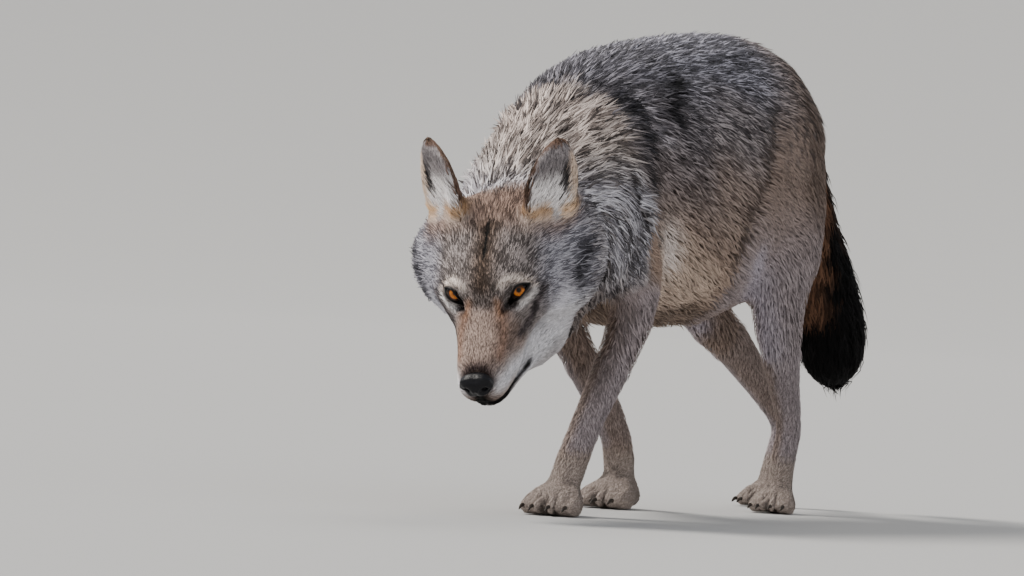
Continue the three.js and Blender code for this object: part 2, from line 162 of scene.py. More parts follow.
LEGS = ("fore_left", "fore_right", "hind_left", "hind_right")
CLAWS = ("inner", "middle_inner", "middle_outer", "outer")
FLESH = ["head", "jaw", "neck", "trunk", "tail", "ear_left", "ear_right"]
FLESH += [f"{leg}_{part}" for leg in LEGS for part in ("upper", "lower", "paw")]
SWELL = 0.0014  # closes the thin cuts between the parts
MERGE = 1e-5  # corners nearer than this are one
SKIN_GRAIN = 0.006
SKIN_LIFT = 0.0006  # the least height of the hide over the ground
DEPTH, SMOOTHING = 0, 1
REGIONS = {  # depth of the coat in metres, share of smoothing
    "face": (0.0025, 0.5), "skull": (0.008, 0.8), "ear": (0.0014, 0.25),
    "neck": (0.022, 1), "trunk": (0.014, 1), "tail": (0.016, 1),
    "upper": (0.008, 1), "lower": (0.0035, 0.7), "paw": (0.0028, 0.35),
}
REGION_NAMES = list(REGIONS)
CLOSE_DEPTH = 0.0065  # of the coat on the thigh and upper arm

head_place = Matrix.Translation(head_middle) @ head_turn.to_4x4()
to_head = np.array(head_place.inverted())
from_head = np.array(head_place)


def head_view(points):
    """The same points seen level from the middle of the eye line, in millimetres: left, back, up."""
    return (points @ to_head[:3, :3].T + to_head[:3, 3]) * 1000


def world_view(points):
    """Points given in the head's own millimetres, as places in the scene."""
    return points / 1000 @ from_head[:3, :3].T + from_head[:3, 3]


def read(items, field, width, kind=np.float32):
    """One field of all the vertices, edges, triangles or corners of a mesh, as rows of an array."""
    flat = np.empty(len(items) * width, kind)
    items.foreach_get(field, flat)
    return flat.reshape(-1, width)


def mesh_points(mesh):
    return read(mesh.vertices, "co", 3).astype(float)


def mesh_normals(mesh):
    return read(mesh.vertex_normals, "vector", 3).astype(float)


def mesh_edges(mesh):
    return read(mesh.edges, "vertices", 2, np.int32)


def set_points(mesh, points):
    mesh.vertices.foreach_set("co", points.astype(np.float32).ravel())
    mesh.update()


def new_object(name, data):
    """An object made of a mesh or a curve, the only one selected."""
    made = bpy.data.objects.new(name, data)
    bpy.context.collection.objects.link(made)
    bpy.ops.object.select_all(action="DESELECT")
    made.select_set(True)
    bpy.context.view_layer.objects.active = made
    return made


def remeshed(thing, grain):
    """The mesh of the active object, rebuilt in an even grain."""
    remesh = thing.modifiers.new("even", "REMESH")
    remesh.mode = "VOXEL"
    remesh.voxel_size = grain
    bpy.ops.object.modifier_apply(modifier=remesh.name)
    return thing.data


def cut_finer(mesh, chosen):
    """Cuts in two each edge that has both ends among the chosen points, and the faces with it."""
    finer = bmesh.new()
    finer.from_mesh(mesh)
    cut_edges = [edge for edge in finer.edges if chosen[edge.verts[0].index] and chosen[edge.verts[1].index]]
    bmesh.ops.subdivide_edges(finer, edges=cut_edges, cuts=1, use_grid_fill=True)
    finer.to_mesh(mesh)
    finer.free()


def relaxed(values, edges, rounds, keep=None, hold=True):
    """Each value moved to the mean of its neighbours; with `hold`, every other round moves it back out."""
    count = len(values)
    one, two = edges[:, 0], edges[:, 1]
    valence = np.maximum(np.bincount(one, minlength=count) + np.bincount(two, minlength=count), 1)[:, None]
    values = np.array(values, float).reshape(count, -1)
    share = np.ones((count, 1)) if keep is None else keep[:, None]
    for turn in range(rounds):
        total = np.empty_like(values)
        for axis in range(values.shape[1]):
            total[:, axis] = np.bincount(one, values[two, axis], count)
            total[:, axis] += np.bincount(two, values[one, axis], count)
        step = -0.53 if hold and turn % 2 else 0.5
        values += step * share * (total / valence - values)
    return values


def smoothstep(low, high, value):
    share = np.clip((value - low) / (high - low), 0, 1)
    return share * share * (3 - 2 * share)


corners, triangles, owners = [], [], []
for index, name in enumerate(FLESH):
    node_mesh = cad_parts[name].data
    node_mesh.calc_loop_triangles()
    triangles.append(read(node_mesh.loop_triangles, "vertices", 3, np.int32) + sum(map(len, corners)))
    corners.append(mesh_points(node_mesh))
    owners += [index] * len(triangles[-1])
corners, triangles = np.concatenate(corners), np.concatenate(triangles)
owner_tree = BVHTree.FromPolygons(corners.tolist(), triangles.tolist())

skin_mesh = bpy.data.meshes.new("skin")
skin_mesh.from_pydata(corners.tolist(), [], triangles.tolist())
flesh = bmesh.new()
flesh.from_mesh(skin_mesh)
bmesh.ops.remove_doubles(flesh, verts=flesh.verts, dist=MERGE)
flesh.normal_update()
for vert in flesh.verts:
    vert.co += vert.normal * SWELL
flesh.to_mesh(skin_mesh)
flesh.free()
skin = new_object("skin", skin_mesh)
skin_mesh = remeshed(skin, SKIN_GRAIN)

# Two short-haired places and the ruff, which no single part of the body covers, in millimetres.
FOLD_HEIGHTS = (345, 404, 470, 516, 568, 620)
FOLD_LEFT = (92, 93, 142, 155, 187, 240)  # how far back the fold before the thigh lies at each height
FOLD_RIGHT = (140, 130, 160, 168, 190, 240)
ARM_HEIGHTS = (260, 330, 400, 440)
ARM_MIDDLES = (-225, -240, -262, -265)
ARM_HALVES = (45, 50, 34, 16)


def coat_zones(points):
    """Shares of the thigh, the upper arm and the ruff."""
    y, z = points[:, 1] * 1000, points[:, 2] * 1000
    left = points[:, 0] > 0
    fold = np.where(left, np.interp(z, FOLD_HEIGHTS, FOLD_LEFT), np.interp(z, FOLD_HEIGHTS, FOLD_RIGHT))
    thigh = smoothstep(-8, 22, y - fold) * smoothstep(600, 520, z)
    arm_middle = np.interp(z, ARM_HEIGHTS, ARM_MIDDLES)
    arm_half = np.interp(z, ARM_HEIGHTS, ARM_HALVES)
    arm = smoothstep(1.3, 0.8, np.abs(y - arm_middle) / arm_half) * smoothstep(450, 405, z)
    arm *= smoothstep(50, 75, np.abs(points[:, 0]) * 1000)
    head = head_view(points)
    ruff = smoothstep(74, 100, np.abs(head[:, 0])) * smoothstep(8, 50, head[:, 1])
    ruff *= smoothstep(45, 20, head[:, 2])
    return thigh, arm, ruff


def region_weights(points, edges, rounds=10):
    """For each point, how much it belongs to each region, blended across the borders."""
    owner = np.array([owners[owner_tree.find_nearest(point)[2]] for point in points.tolist()])
    local = head_view(points)
    weights = np.zeros((len(points), len(REGIONS)))
    for index, name in enumerate(FLESH):
        mine = owner == index
        if name in ("head", "jaw"):
            back = smoothstep(5, 75, local[mine, 1] + 0.35 * np.abs(local[mine, 0]))
            weights[mine, REGION_NAMES.index("face")] = 1 - back
            weights[mine, REGION_NAMES.index("skull")] = back
        else:
            region = "ear" if name.startswith("ear") else name.split("_")[-1]
            weights[mine, REGION_NAMES.index(region)] = 1
    return relaxed(weights, edges, rounds, hold=False)


def region_blend(weights, column):
    return weights @ np.array([REGIONS[name][column] for name in REGION_NAMES])


skin_points = mesh_points(skin_mesh)
skin_edges = mesh_edges(skin_mesh)
weights = region_weights(skin_points, skin_edges)
smoothing = region_blend(weights, SMOOTHING)
skin_points = relaxed(skin_points, skin_edges, 44, keep=smoothing)
set_points(skin_mesh, skin_points)
depth = region_blend(weights, DEPTH)
thigh, arm, ruff = coat_zones(skin_points)
depth -= np.maximum(thigh, arm) * np.maximum(depth - CLOSE_DEPTH, 0)
depth = depth * (0.1 + 0.9 * smoothstep(0.002, 0.03, skin_points[:, 2])) + SWELL
skin_points -= mesh_normals(skin_mesh) * depth[:, None]
skin_points[:, 2] = np.maximum(skin_points[:, 2], SKIN_LIFT)
skin_points = relaxed(skin_points, skin_edges, 8, keep=smoothing)
set_points(skin_mesh, skin_points)

# The face, the nose and the eyes are cut finer, the eyes most. Middles and radii in the head's millimetres.
FACE_GRAIN = [((0, -40, -30), (110, 150, 110)), ((0, -118, -66), (52, 44, 42))]
FACE_GRAIN += [((side * 46, -8, 2), radii) for radii in ((31, 29, 27), (25, 24, 22)) for side in (1, -1)]
for middle, radii in FACE_GRAIN:
    local = head_view(mesh_points(skin_mesh))
    cut_finer(skin_mesh, (((local - middle) / radii) ** 2).sum(1) < 1)

# Toes: the paws are cut finer, and a groove runs back between each two claws.
PAW_TOP = 0.062
TOE_START, TOE_REACH = 0.012, 0.040  # of a groove, before and behind the claws
TOE_DEEP, TOE_WIDE = 0.0062, 0.0042
toe_lines = []
for leg in LEGS:
    claw_places = [np.array(node_middle(f"{leg}_claw_{claw}"))[:2] for claw in CLAWS]
    paw_middle = np.array(node_middle(f"{leg}_paw"))[:2]
    for one, two in zip(claw_places[:-1], claw_places[1:]):
        gap = (one + two) / 2
        backwards = (paw_middle - gap) / np.linalg.norm(paw_middle - gap)
        toe_lines.append((gap - backwards * TOE_START, gap + backwards * TOE_REACH))
cut_finer(skin_mesh, mesh_points(skin_mesh)[:, 2] < PAW_TOP)
skin_points = mesh_points(skin_mesh)
skin_edges = mesh_edges(skin_mesh)
skin_points = relaxed(skin_points, skin_edges, 4, keep=smoothstep(PAW_TOP, 0.05, skin_points[:, 2]) * 0.8)
set_points(skin_mesh, skin_points)
toe_groove = np.zeros(len(skin_points))
for start, end in toe_lines:
    span = end - start
    share = np.clip((skin_points[:, :2] - start) @ span / (span @ span), 0, 1)
    beside = np.linalg.norm(skin_points[:, :2] - start - share[:, None] * span, axis=1)
    toe_groove = np.maximum(toe_groove, np.exp(-(beside / TOE_WIDE) ** 2) * smoothstep(1.0, 0.6, share))
toe_groove *= smoothstep(0.060, 0.045, skin_points[:, 2]) * TOE_DEEP
skin_points -= mesh_normals(skin_mesh) * toe_groove[:, None]
skin_points[:, 2] = np.maximum(skin_points[:, 2], SKIN_LIFT)
set_points(skin_mesh, skin_points)

skin_points = mesh_points(skin_mesh)
local = head_view(skin_points)
on_face = (((local - FACE_GRAIN[0][0]) / FACE_GRAIN[0][1]) ** 2).sum(1) < 1
skin_points = relaxed(skin_points, skin_edges, 8, keep=on_face * 0.9)

# Bones, muscles and pads of the head, left side: middle, radii and push, all in the head's millimetres.
HEAD_FORMS = (
    ((31, 0, 21), (15, 11, 9), (1, -3, 3.5)),  # brow
    ((0, -24, 12), (15, 17, 12), (0, 1, -2.5)),  # stop
    ((0, 34, 46), (6, 36, 16), (0, 0, -2.2)),  # furrow of the forehead
    ((27, 36, 42), (17, 26, 16), (0, 0, 2)),  # muscle beside the furrow
    ((68, 16, -14), (15, 22, 12), (3, -2, 1)),  # cheekbone
    ((44, -30, -24), (13, 18, 13), (-3.5, 0, 1)),  # hollow before the eye
    ((36, -66, -42), (11, 26, 14), (-2.5, 0, 0)),  # side of the muzzle
    ((38, -86, -76), (12, 26, 11), (2.5, -1, -2)),  # upper lip
    ((27, -112, -58), (12, 15, 14), (2.5, -2, 0)),  # whisker pad
    ((0, 112, 56), (26, 32, 20), (0, 0, -4)),  # between the ears
    ((64, 80, 40), (20, 16, 18), (2, -3, 4)),  # root of the ear
    ((64, 110, 62), (11, 20, 26), (-7, -1, 0)),  # inner edge of the ear
)


def pushed(points, forms):
    """Places on the head, pushed by soft bumps and hollows, on both sides unless one is on the midline."""
    for middle, radii, push in forms:
        for side in SIDES.values() if middle[0] else (1,):
            mirror = np.array((side, 1, 1))
            near = np.exp(-(((points - np.array(middle) * mirror) / radii) ** 2).sum(1))
            points += near[:, None] * (np.array(push) * mirror)
    return points


head_points = pushed(head_view(skin_points), HEAD_FORMS)

# The groove between the lips runs round the muzzle from one corner of the mouth to the other.
LIP_FRONT, LIP_CORNER = (-122, -80), (-46, -87)  # how far back and how high
LIP_HALF, LIP_DEEP = 2.0, 0.0035
lip_height = np.interp(head_points[:, 1], (LIP_FRONT[0], LIP_CORNER[0]), (LIP_FRONT[1], LIP_CORNER[1]))
lip_groove = np.exp(-((head_points[:, 2] - lip_height) / LIP_HALF) ** 2)
lip_groove *= smoothstep(-38, -50, head_points[:, 1])
lip_groove *= smoothstep(-190, -150, head_points[:, 1]) * (np.abs(head_points[:, 0]) < 70)
set_points(skin_mesh, world_view(head_points))
head_points = head_view(mesh_points(skin_mesh) - mesh_normals(skin_mesh) * (lip_groove * LIP_DEEP)[:, None])

# The lids close over each eyeball in a slanting almond, with the tear corner drawn out towards the nose.
EYE_RADIUS = 12.5
LID_THICK = 1.5
LID_CURVE = 0.047  # how fast the lids fall back from the middle of the eye
EYE_FORWARD = np.array((0.20, -0.79, 0.58))
EYE_OUTWARD = np.array((0.76, 0.50, 0.42))
EYE_UPWARD = np.array((-0.62, 0.36, 0.70))
EYE_MIDDLE = np.array((43, 2, -1))
LID_CORNERS = (-21.5, 16.5)
LID_LEVEL = -3.6  # of both corners
LID_RISE, LID_FALL = 9.4, 3.4  # from the corners to the top of the upper lid and the bottom of the lower


def lid_edges(share):
    """How high the upper and the lower lid end, from the tear corner at 0 to the outer corner at 1."""
    upper = LID_LEVEL + LID_RISE * np.sin(np.pi * share ** 1.5) ** 0.9
    lower = LID_LEVEL - LID_FALL * np.sin(np.pi * share ** 0.8) ** 0.9
    return upper, lower


def lid_front(radius):
    return EYE_RADIUS + LID_THICK - LID_CURVE * radius ** 2


eye_aperture = np.full(len(head_points), -99.0)
for side in SIDES.values():
    mirror = np.array((side, 1, 1))
    offset = (head_points * mirror) - EYE_MIDDLE
    out, up, front = offset @ EYE_OUTWARD, offset @ EYE_UPWARD, offset @ EYE_FORWARD
    upper, lower = lid_edges(np.clip((out - LID_CORNERS[0]) / (LID_CORNERS[1] - LID_CORNERS[0]), 0, 1))
    beside = np.maximum(LID_CORNERS[0] - out, out - LID_CORNERS[1])
    inside = np.where(beside > 0, -beside - np.abs(up - LID_LEVEL), np.minimum(upper - up, up - lower))
    radius = np.hypot(out, up)
    globe = np.sqrt(np.clip(EYE_RADIUS ** 2 - radius ** 2, 0, None))
    lid_height = lid_front(radius)
    lid_height -= 1.0 * np.exp(-((inside + 5.5) / 1.4) ** 2) * (up > 0)  # fold over the upper lid
    behind = np.where(radius < EYE_RADIUS - 0.5, globe - 3.5, lid_height - 2.5)
    target = lid_height + (np.minimum(behind, lid_height) - lid_height) * smoothstep(0.0, 1.3, inside)
    hold = smoothstep(-12, -2.5, inside) * (front > -6) * (radius < 34)
    moved = front + (target - front) * hold
    head_points += ((moved - front)[:, None] * EYE_FORWARD) * mirror
    eye_aperture = np.where((radius < 40) & (front > -14), np.maximum(eye_aperture, inside), eye_aperture)
skin_points = world_view(head_points)

# Folds of the body: the edge of the ruff on the shoulder, the hollow behind it and the fold before the thigh.
FOLD_WIDE = 0.014
BODY_FOLDS = (  # a path in millimetres, and how deep
    (((96, 187, 568), (107, 155, 516), (112, 142, 470), (109, 93, 404), (92, 92, 345)), 0.008),
    (((-96, 190, 568), (-107, 168, 516), (-112, 160, 470), (-109, 130, 404), (-92, 140, 345)), 0.008),
    (((112, -282, 510), (119, -264, 473), (117, -232, 409), (121, -227, 363), (106, -244, 300)), 0.005),
    (((-112, -272, 510), (-119, -254, 473), (-117, -222, 409), (-121, -207, 363)), 0.005),
)


def line_distance(points, path):
    """Each point's distance in metres from a broken line given in millimetres."""
    path = np.array(path, float) / 1000
    best = np.full(len(points), 1e9)
    for start, end in zip(path[:-1], path[1:]):
        span = end - start
        share = np.clip((points - start) @ span / (span @ span), 0, 1)
        best = np.minimum(best, np.linalg.norm(points - start - share[:, None] * span, axis=1))
    return best


set_points(skin_mesh, skin_points)
fold = np.zeros(len(skin_points))
for path, deep in BODY_FOLDS:
    fold += deep * np.exp(-(line_distance(skin_points, path) / FOLD_WIDE) ** 2)
skin_points = skin_points - mesh_normals(skin_mesh) * fold[:, None]
skin_points[:, 2] = np.maximum(skin_points[:, 2], SKIN_LIFT)
set_points(skin_mesh, skin_points)
skin_points = relaxed(skin_points, skin_edges, 3, keep=np.exp(-(eye_aperture / 2.5) ** 2), hold=False)
set_points(skin_mesh, skin_points)
skin_normals = mesh_normals(skin_mesh)
head_points = head_view(skin_points)
weights = region_weights(skin_points, skin_edges, 6)
part_of = {name: weights[:, index] for index, name in enumerate(REGION_NAMES)}

# Markings. Every lock has a root, a band and a tip, and the hide shows a mixture of the three.


def paint(code):
    """A screen colour such as "8a7c70" as the linear values that a shader takes."""
    share = np.array([int(code[place:place + 2], 16) for place in (0, 2, 4)]) / 255
    return np.where(share < 0.04045, share / 12.92, ((share + 0.055) / 1.055) ** 2.4)


def waves(points, size, seed):
    """Smooth random hills about `size` metres across, from -1 to 1."""
    draw = np.random.default_rng(seed)
    total = np.zeros(len(points))
    for _ in range(10):
        way = draw.normal(size=3)
        way *= 2 * math.pi / (size * draw.uniform(1.4, 3.2)) / np.linalg.norm(way)
        total += np.sin(points @ way + draw.uniform(0, 7))
    return np.clip(total / 3.2, -1, 1)


def trail(points, path, wide):
    """1 along a broken line given in millimetres, fading to 0 over `wide` millimetres."""
    return np.exp(-(line_distance(points, path) * 1000 / wide) ** 2)


def part_of_points(belongs, name):
    return belongs[:, REGION_NAMES.index(name)]


def left_half(points):
    """The same points, with those of the right half laid over the left."""
    return np.stack([np.abs(points[:, 0]), points[:, 1], points[:, 2]], 1)


TEAR_LINE = ((38, -14, 5), (32, -23, -1), (27, -29, -5))
LIP_LINE = ((6, -122, -86), (16, -115, -89), (28, -92, -87), (36, -67, -91), (44, -36, -99))
INNER_EAR = (0.05, 0.45)  # how far the hide faces out of the ear where the inner side starts and is full
EAR_FACING = np.array((0.42, -0.86, 0.28))  # of the left ear's hollow side, in the head's frame
ear_roots, ear_ways = {}, {}
for side_name, side in SIDES.items():
    ear_points = head_view(mesh_points(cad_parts[f"ear_{side_name}"].data))
    rank = np.argsort(ear_points[:, 2])
    ear_roots[side] = ear_points[rank[: len(rank) // 4]].mean(0)
    ear_ways[side] = ear_points[rank[-1]] - ear_roots[side]
EAR_STATIONS = np.linspace(0.0, 1.0, 11)
EAR_SLICE = 0.09


def ear_view(points, normals):
    """Places on the ears: share of the way up, millimetres out from the ear's own line, and how far the hide
    there faces out of the hollow side, from -1 to 1."""
    head = head_view(points)
    left = head[:, :1] > 0
    upwards = np.where(left, ear_ways[1], ear_ways[-1])
    facing = np.where(left, EAR_FACING, EAR_FACING * (-1, 1, 1))
    outward = np.cross(facing, upwards) * np.where(left, -1, 1)
    outward /= np.linalg.norm(outward, axis=1)[:, None]
    offset = head - np.where(left, ear_roots[1], ear_roots[-1])
    up = (offset * upwards).sum(1) / (upwards * upwards).sum(1)
    return up, (offset * outward).sum(1), ((normals @ from_head[:3, :3]) * facing).sum(1)


ear_low, ear_high = [], []
up, out, _ = ear_view(corners, np.zeros_like(corners))
on_ear = np.zeros(len(corners), bool)
on_ear[triangles[np.isin(owners, [FLESH.index("ear_left"), FLESH.index("ear_right")])]] = True
for station in EAR_STATIONS:
    there = out[on_ear & (np.abs(up - station) < EAR_SLICE)]
    ear_low.append(there.min())
    ear_high.append(there.max())


def markings(points, normals, belongs):
    """Root, band and tip colours and the share of dark tips, for places on the hide."""
    head = head_view(points)
    side = np.abs(head[:, 0])
    mirrored = left_half(head) / 1000
    near = left_half(points)
    y, z = points[:, 1], points[:, 2]
    thigh, arm, ruff = coat_zones(points)
    patchy = waves(points, 0.018, 21)
    broad = waves(points, 0.06, 22)
    fleck = waves(points, 0.008, 23)
    count = len(points)
    look = np.zeros((count, 10))  # root, band and tip colour, and the share of dark tips

    def coat(share, colours, dark_share):
        goal = np.concatenate([paint(code) for code in colours.split()] + [[dark_share]])
        look[:] = look + np.clip(share, 0, 1)[:, None] * (goal - look)

    # Trunk: buff low on the flank, grey above, silver and black along the back.
    level = z + 0.012 * broad
    coat(np.ones(count), "7a6458 bca392 948074", 0.2)
    coat(smoothstep(0.31, 0.44, level), "5e504a b09e95 6a5a55", 0.32)
    coat(smoothstep(0.43, 0.54, level), "46403f b0a8aa 443e44", 0.45)
    coat(smoothstep(0.54, 0.62, level), "34323a bcbac8 24232c", 0.6)
    coat(smoothstep(0.16, 0.30, y) * smoothstep(0.42, 0.56, z) * 0.8, "5a4e4a b09e95 3c3434", 0.5)
    trunk = part_of_points(belongs, "trunk")
    belly = smoothstep(0.385, 0.335, level + 0.22 * np.maximum(y + 0.08, 0)) * smoothstep(0.10, 0.02, y)
    coat(trunk * belly, "9c8472 dcc4b2 c2aa98", 0.06)
    coat(trunk * trail(near, ((106, -150, 368), (108, -118, 338)), 28), "b8a8a0 f8ece6 e6d8d2", 0.02)
    # Painted shade: the lowest strip of the trunk and the hide that faces down are darker.
    coat(trunk * smoothstep(0.30, 0.275, level) * 0.85, "4a3c34 7c6858 42352d", 0.6)
    coat(trunk * smoothstep(-0.6, -0.9, normals[:, 2]) * 0.6, "6c5a50 a08c7e 6c5a50", 0.3)
    slate = smoothstep(0.16, 0.10, np.abs(y + 0.17 + 0.25 * (z - 0.5))) * smoothstep(0.38, 0.46, z) * trunk
    coat(slate * 0.5, "302e34 8a868e 24222a", 0.6)
    saddle_line = ((18, -272, 596), (57, -258, 570), (92, -236, 536), (115, -240, 482), (121, -236, 429))
    saddle = trail(near, saddle_line, 29)
    saddle += 0.9 * trail(near, ((62, -225, 582), (97, -205, 540), (114, -208, 488)), 17)
    saddle += 0.8 * trail(near, ((121, -244, 429), (117, -232, 390)), 12)
    coat(np.clip(saddle, 0, 1.1) * (0.62 + 0.45 * patchy + 0.3 * fleck), "1a191d 4a4850 0c0c10", 0.86)
    coat(trail(near, ((99, -126, 540), (89, -122, 569), (78, -84, 594)), 19) * (0.9 + 0.5 * patchy),
         "100f12 2e2c32 08080b", 0.95)
    coat(trail(near, ((62, -205, 596), (92, -178, 550), (110, -170, 505)), 15) * 0.7,
         "4a4648 d2ccd4 58545c", 0.2)
    # Painted shade: a dark line along the fold before the thigh, where shade falls in the crease.
    fold = trail(near, ((96, 182, 568), (108, 150, 516), (113, 137, 470), (110, 88, 404), (92, 86, 350)), 12)
    coat(fold * 0.7 * (z < 0.6), "2e2622 5e5048 241e1b", 0.7)

    # Thigh and upper arm: close taupe hair, with a pale lavender painted highlight down each thigh.
    coat(thigh * 0.9, "6e5d53 9e8b80 82716a", 0.18)
    coat(arm * 0.95, "6c5b52 a89284 80695c", 0.2)
    # Painted highlight: a pale lavender streak down each thigh, where the light catches the hair.
    thigh_highlight = trail(points, ((88, 160, 350), (60, 213, 302), (66, 231, 258), (62, 262, 215)), 26)
    thigh_highlight += trail(points, ((-96, 230, 350), (-92, 300, 302), (-96, 350, 250)), 24)
    coat(thigh_highlight * 0.85, "a098a6 ccc4d2 b6aebc", 0.02)
    coat(smoothstep(0.25, 0.34, y) * smoothstep(0.2, 0.5, z) * 0.7, "42362f 7c6c62 3c322d", 0.5)

    # Neck: cream above with dark flecks, white-grey ruff at the side, slate at its lower rear edge.
    neck = part_of_points(belongs, "neck")
    shoulder = smoothstep(-0.262, -0.295, y + 0.02 * patchy) * smoothstep(0.42, 0.46, z) * (1 - arm)
    neck = np.maximum(neck, shoulder)
    beside_saddle = 1 - 0.9 * np.clip(saddle, 0, 1)
    coat(neck * beside_saddle, "6c5e58 e0d4cc 7a6c66", 0.3)
    nape = neck * smoothstep(0.47, 0.54, z)
    coat(nape * beside_saddle, "75675e ecdcd3 8a7a74", 0.3)
    coat(nape * smoothstep(-0.42, -0.50, y) * 0.8, "94745c e6c8b6 ac8c7a", 0.2)
    coat(neck * smoothstep(0.5, 0.42, z) * 0.85, "5c5a64 e0e0ea 9a98a6", 0.22)
    coat(trail(near, ((122, -322, 470), (125, -296, 430), (120, -275, 380)), 22) * (0.7 + 0.5 * patchy),
         "1e1e26 66666e 14141a", 0.75)
    coat(neck * smoothstep(0.34, 0.27, z) * 0.75, "5e5048 9a8678 5a4c44", 0.3)
    coat(neck * smoothstep(0.15, 0.6, patchy) * 0.5, "2c2826 847a78 1e1b1c", 0.75)
    coat(neck * smoothstep(0.15, 0.55, fleck + 0.3 * patchy) * 0.78, "2a2523 5c5250 191617", 0.9)
    coat(trunk * smoothstep(0.44, 0.54, z) * smoothstep(0.25, 0.6, fleck) * 0.6, "201f24 4a484e 121216", 0.95)

    # Legs: taupe, with a pale painted highlight on the sides that face out and forward and painted shade on
    # the sides that face back, a faint dark stripe down the fore legs; paler paws.
    upper, lower, paw = (part_of_points(belongs, name) for name in ("upper", "lower", "paw"))
    coat(upper * (1 - thigh), "74645c 9c887e 84726a", 0.14)
    coat(lower, "7c6c66 a4948e 90807a", 0.08)
    # Painted highlight: pale lavender on the sides that face out and forward, where the light catches the
    # hair.
    front_highlight = smoothstep(0.1, 0.8, normals[:, 0] * np.sign(points[:, 0]) - 0.5 * normals[:, 1])
    front_highlight *= smoothstep(0.47, 0.32, z + 0.01 * broad)
    coat(np.clip(upper + lower + 0.8 * thigh, 0, 1) * front_highlight * 0.5, "a098a0 c4bcc6 b2aab4", 0.03)
    front_stripe = (y < 0.12) * smoothstep(0.35, 0.85, -normals[:, 1]) * smoothstep(0.10, 0.20, z)
    coat((upper + lower) * front_stripe * 0.5, "4a3e3a 78685f 4c403c", 0.4)
    # Painted shade: the sides of the legs that face back are darker.
    coat((upper + lower) * smoothstep(0.3, 0.9, normals[:, 1]) * 0.6, "54463e 8a766a 5c4c44", 0.3)
    coat(paw, "8c7e76 b8aaa2 a4968e", 0.05)

    # Tail: rufous at the front and right of its upper half, black elsewhere.
    tail = part_of_points(belongs, "tail")
    coat(tail, "100e10 1a181a 0a090b", 1)
    rufous_edge = 0.034 + 0.12 * np.maximum(z - 0.30, 0)
    rufous = smoothstep(0.236, 0.268, z + 0.008 * patchy)
    rufous *= smoothstep(rufous_edge, rufous_edge - 0.02, points[:, 0] + 0.006 * patchy)
    rufous *= smoothstep(0.45, 0.0, normals[:, 1])
    coat(tail * rufous, "463226 7c5b47 523b2e", 0.4)

    # Head: peppered grey brown above, white lips and cheeks, rufous beside the muzzle.
    whole = part_of_points(belongs, "face") + part_of_points(belongs, "skull")
    coat(whole, "463d3b aca2a0 2c2524", 0.55)
    coat(whole * smoothstep(58, 90, side) * 0.85, "5e5c66 c4c4d0 5a5864", 0.38)
    crown = whole * smoothstep(4, 26, head[:, 2]) * smoothstep(62, 104, head[:, 1])
    coat(crown * 0.8, "50403a ac8c7a 463630", 0.45)
    middle_line = smoothstep(98, 84, head[:, 1]) * smoothstep(0, 20, head[:, 2])
    forehead = np.exp(-(side / 19) ** 2) * middle_line * smoothstep(-30, -6, head[:, 1])
    coat(whole * forehead * 0.85, "2a1f19 7c6350 18110e", 0.66)
    furrow = np.exp(-(side / 2.6) ** 2) * middle_line * smoothstep(22, 34, head[:, 1])
    coat(whole * furrow * 1.3, "080606 100c0b 050404", 1)
    muzzle = whole * smoothstep(-14, -40, head[:, 1])
    coat(muzzle, "6a5850 b09b90 74625a", 0.26)
    muzzle_side = ((28, -28, -2), (27, -43, -6), (31, -52, -13), (31, -68, -20), (29, -90, -24))
    coat(trail(mirrored, muzzle_side, 9) * 0.6, "543828 9c7660 684838", 0.3)
    coat(trail(mirrored, ((76, 20, -12), (66, 2, -23), (60, -7, -35), (52, -18, -42), (46, -38, -38)), 9.5),
         "262022 6a6062 181517", 0.72)
    coat(trail(mirrored, ((46, -36, -24), (38, -64, -34)), 8) * 0.65, "3a2e2b 74625a 342b29", 0.5)
    coat(trail(mirrored, ((68, 8, -5), (61, 2, -8), (53, -6, -11), (45, -14, -13)), 5),
         "c4bcbc f6f2f0 dcd4d4", 0.02)
    cheek = ((27, -118, -48), (38, -84, -58), (43, -50, -74), (50, -4, -86), (62, 26, -84), (86, 41, -68))
    white = trail(mirrored, cheek, 15)
    white += smoothstep(-74, -88, head[:, 2]) * smoothstep(-88, -60, head[:, 1])
    coat(white * 1.05 * whole, "bab6be f4f2f6 e0dce4", 0.03)
    coat(trail(mirrored, ((88, 41, -62), (100, 52, -52)), 17) * 0.9, "b0aebc f4f2fc dad8e6", 0.04)
    brow = ((27, -5, 22), (36, 2, 23), (43, 8, 21), (53, 11, 16), (62, 14, 8))
    coat(trail(mirrored, brow, 5.6) * 1.1, "c8b6a8 f6e8de e8d6ca", 0.02)
    coat(trail(mirrored, ((62, 14, 8), (68, 16, 0)), 4) * 0.8, "b8a89a e8dad0 d4c4b8", 0.04)
    coat(trail(mirrored, ((20, -22, 8), (24, -34, 0)), 6) * 0.6, "6a4430 b0825f 7c5238", 0.3)
    coat(trail(mirrored, ((130, 104, -20), (117, 82, -28), (111, 68, -42)), 15) * (0.78 + 0.35 * fleck),
         "16161a 46454c 0e0e12", 0.88)
    coat(trail(mirrored, ((117, 76, -62), (108, 60, -58)), 7.5) * 0.8, "1a1a1e 4c4a50 101014", 0.85)
    coat(trail(mirrored, ((104, 64, -92), (112, 84, -88)), 7) * 0.9, "1c1b20 56545c 121116", 0.85)
    coat(trail(mirrored, ((96, 54, -78), (104, 70, -76)), 7) * 0.8, "a4a4b0 f0f0fa cccad8", 0.05)
    coat(whole * smoothstep(-108, -134, head[:, 2]) * 0.8, "8c8688 d8d2d4 aea8aa", 0.12)
    coat(whole * smoothstep(-88, -95, head[:, 2]) * smoothstep(-45, -65, head[:, 1]),
         "9c9496 dcd6d8 bcb4b8", 0.06)
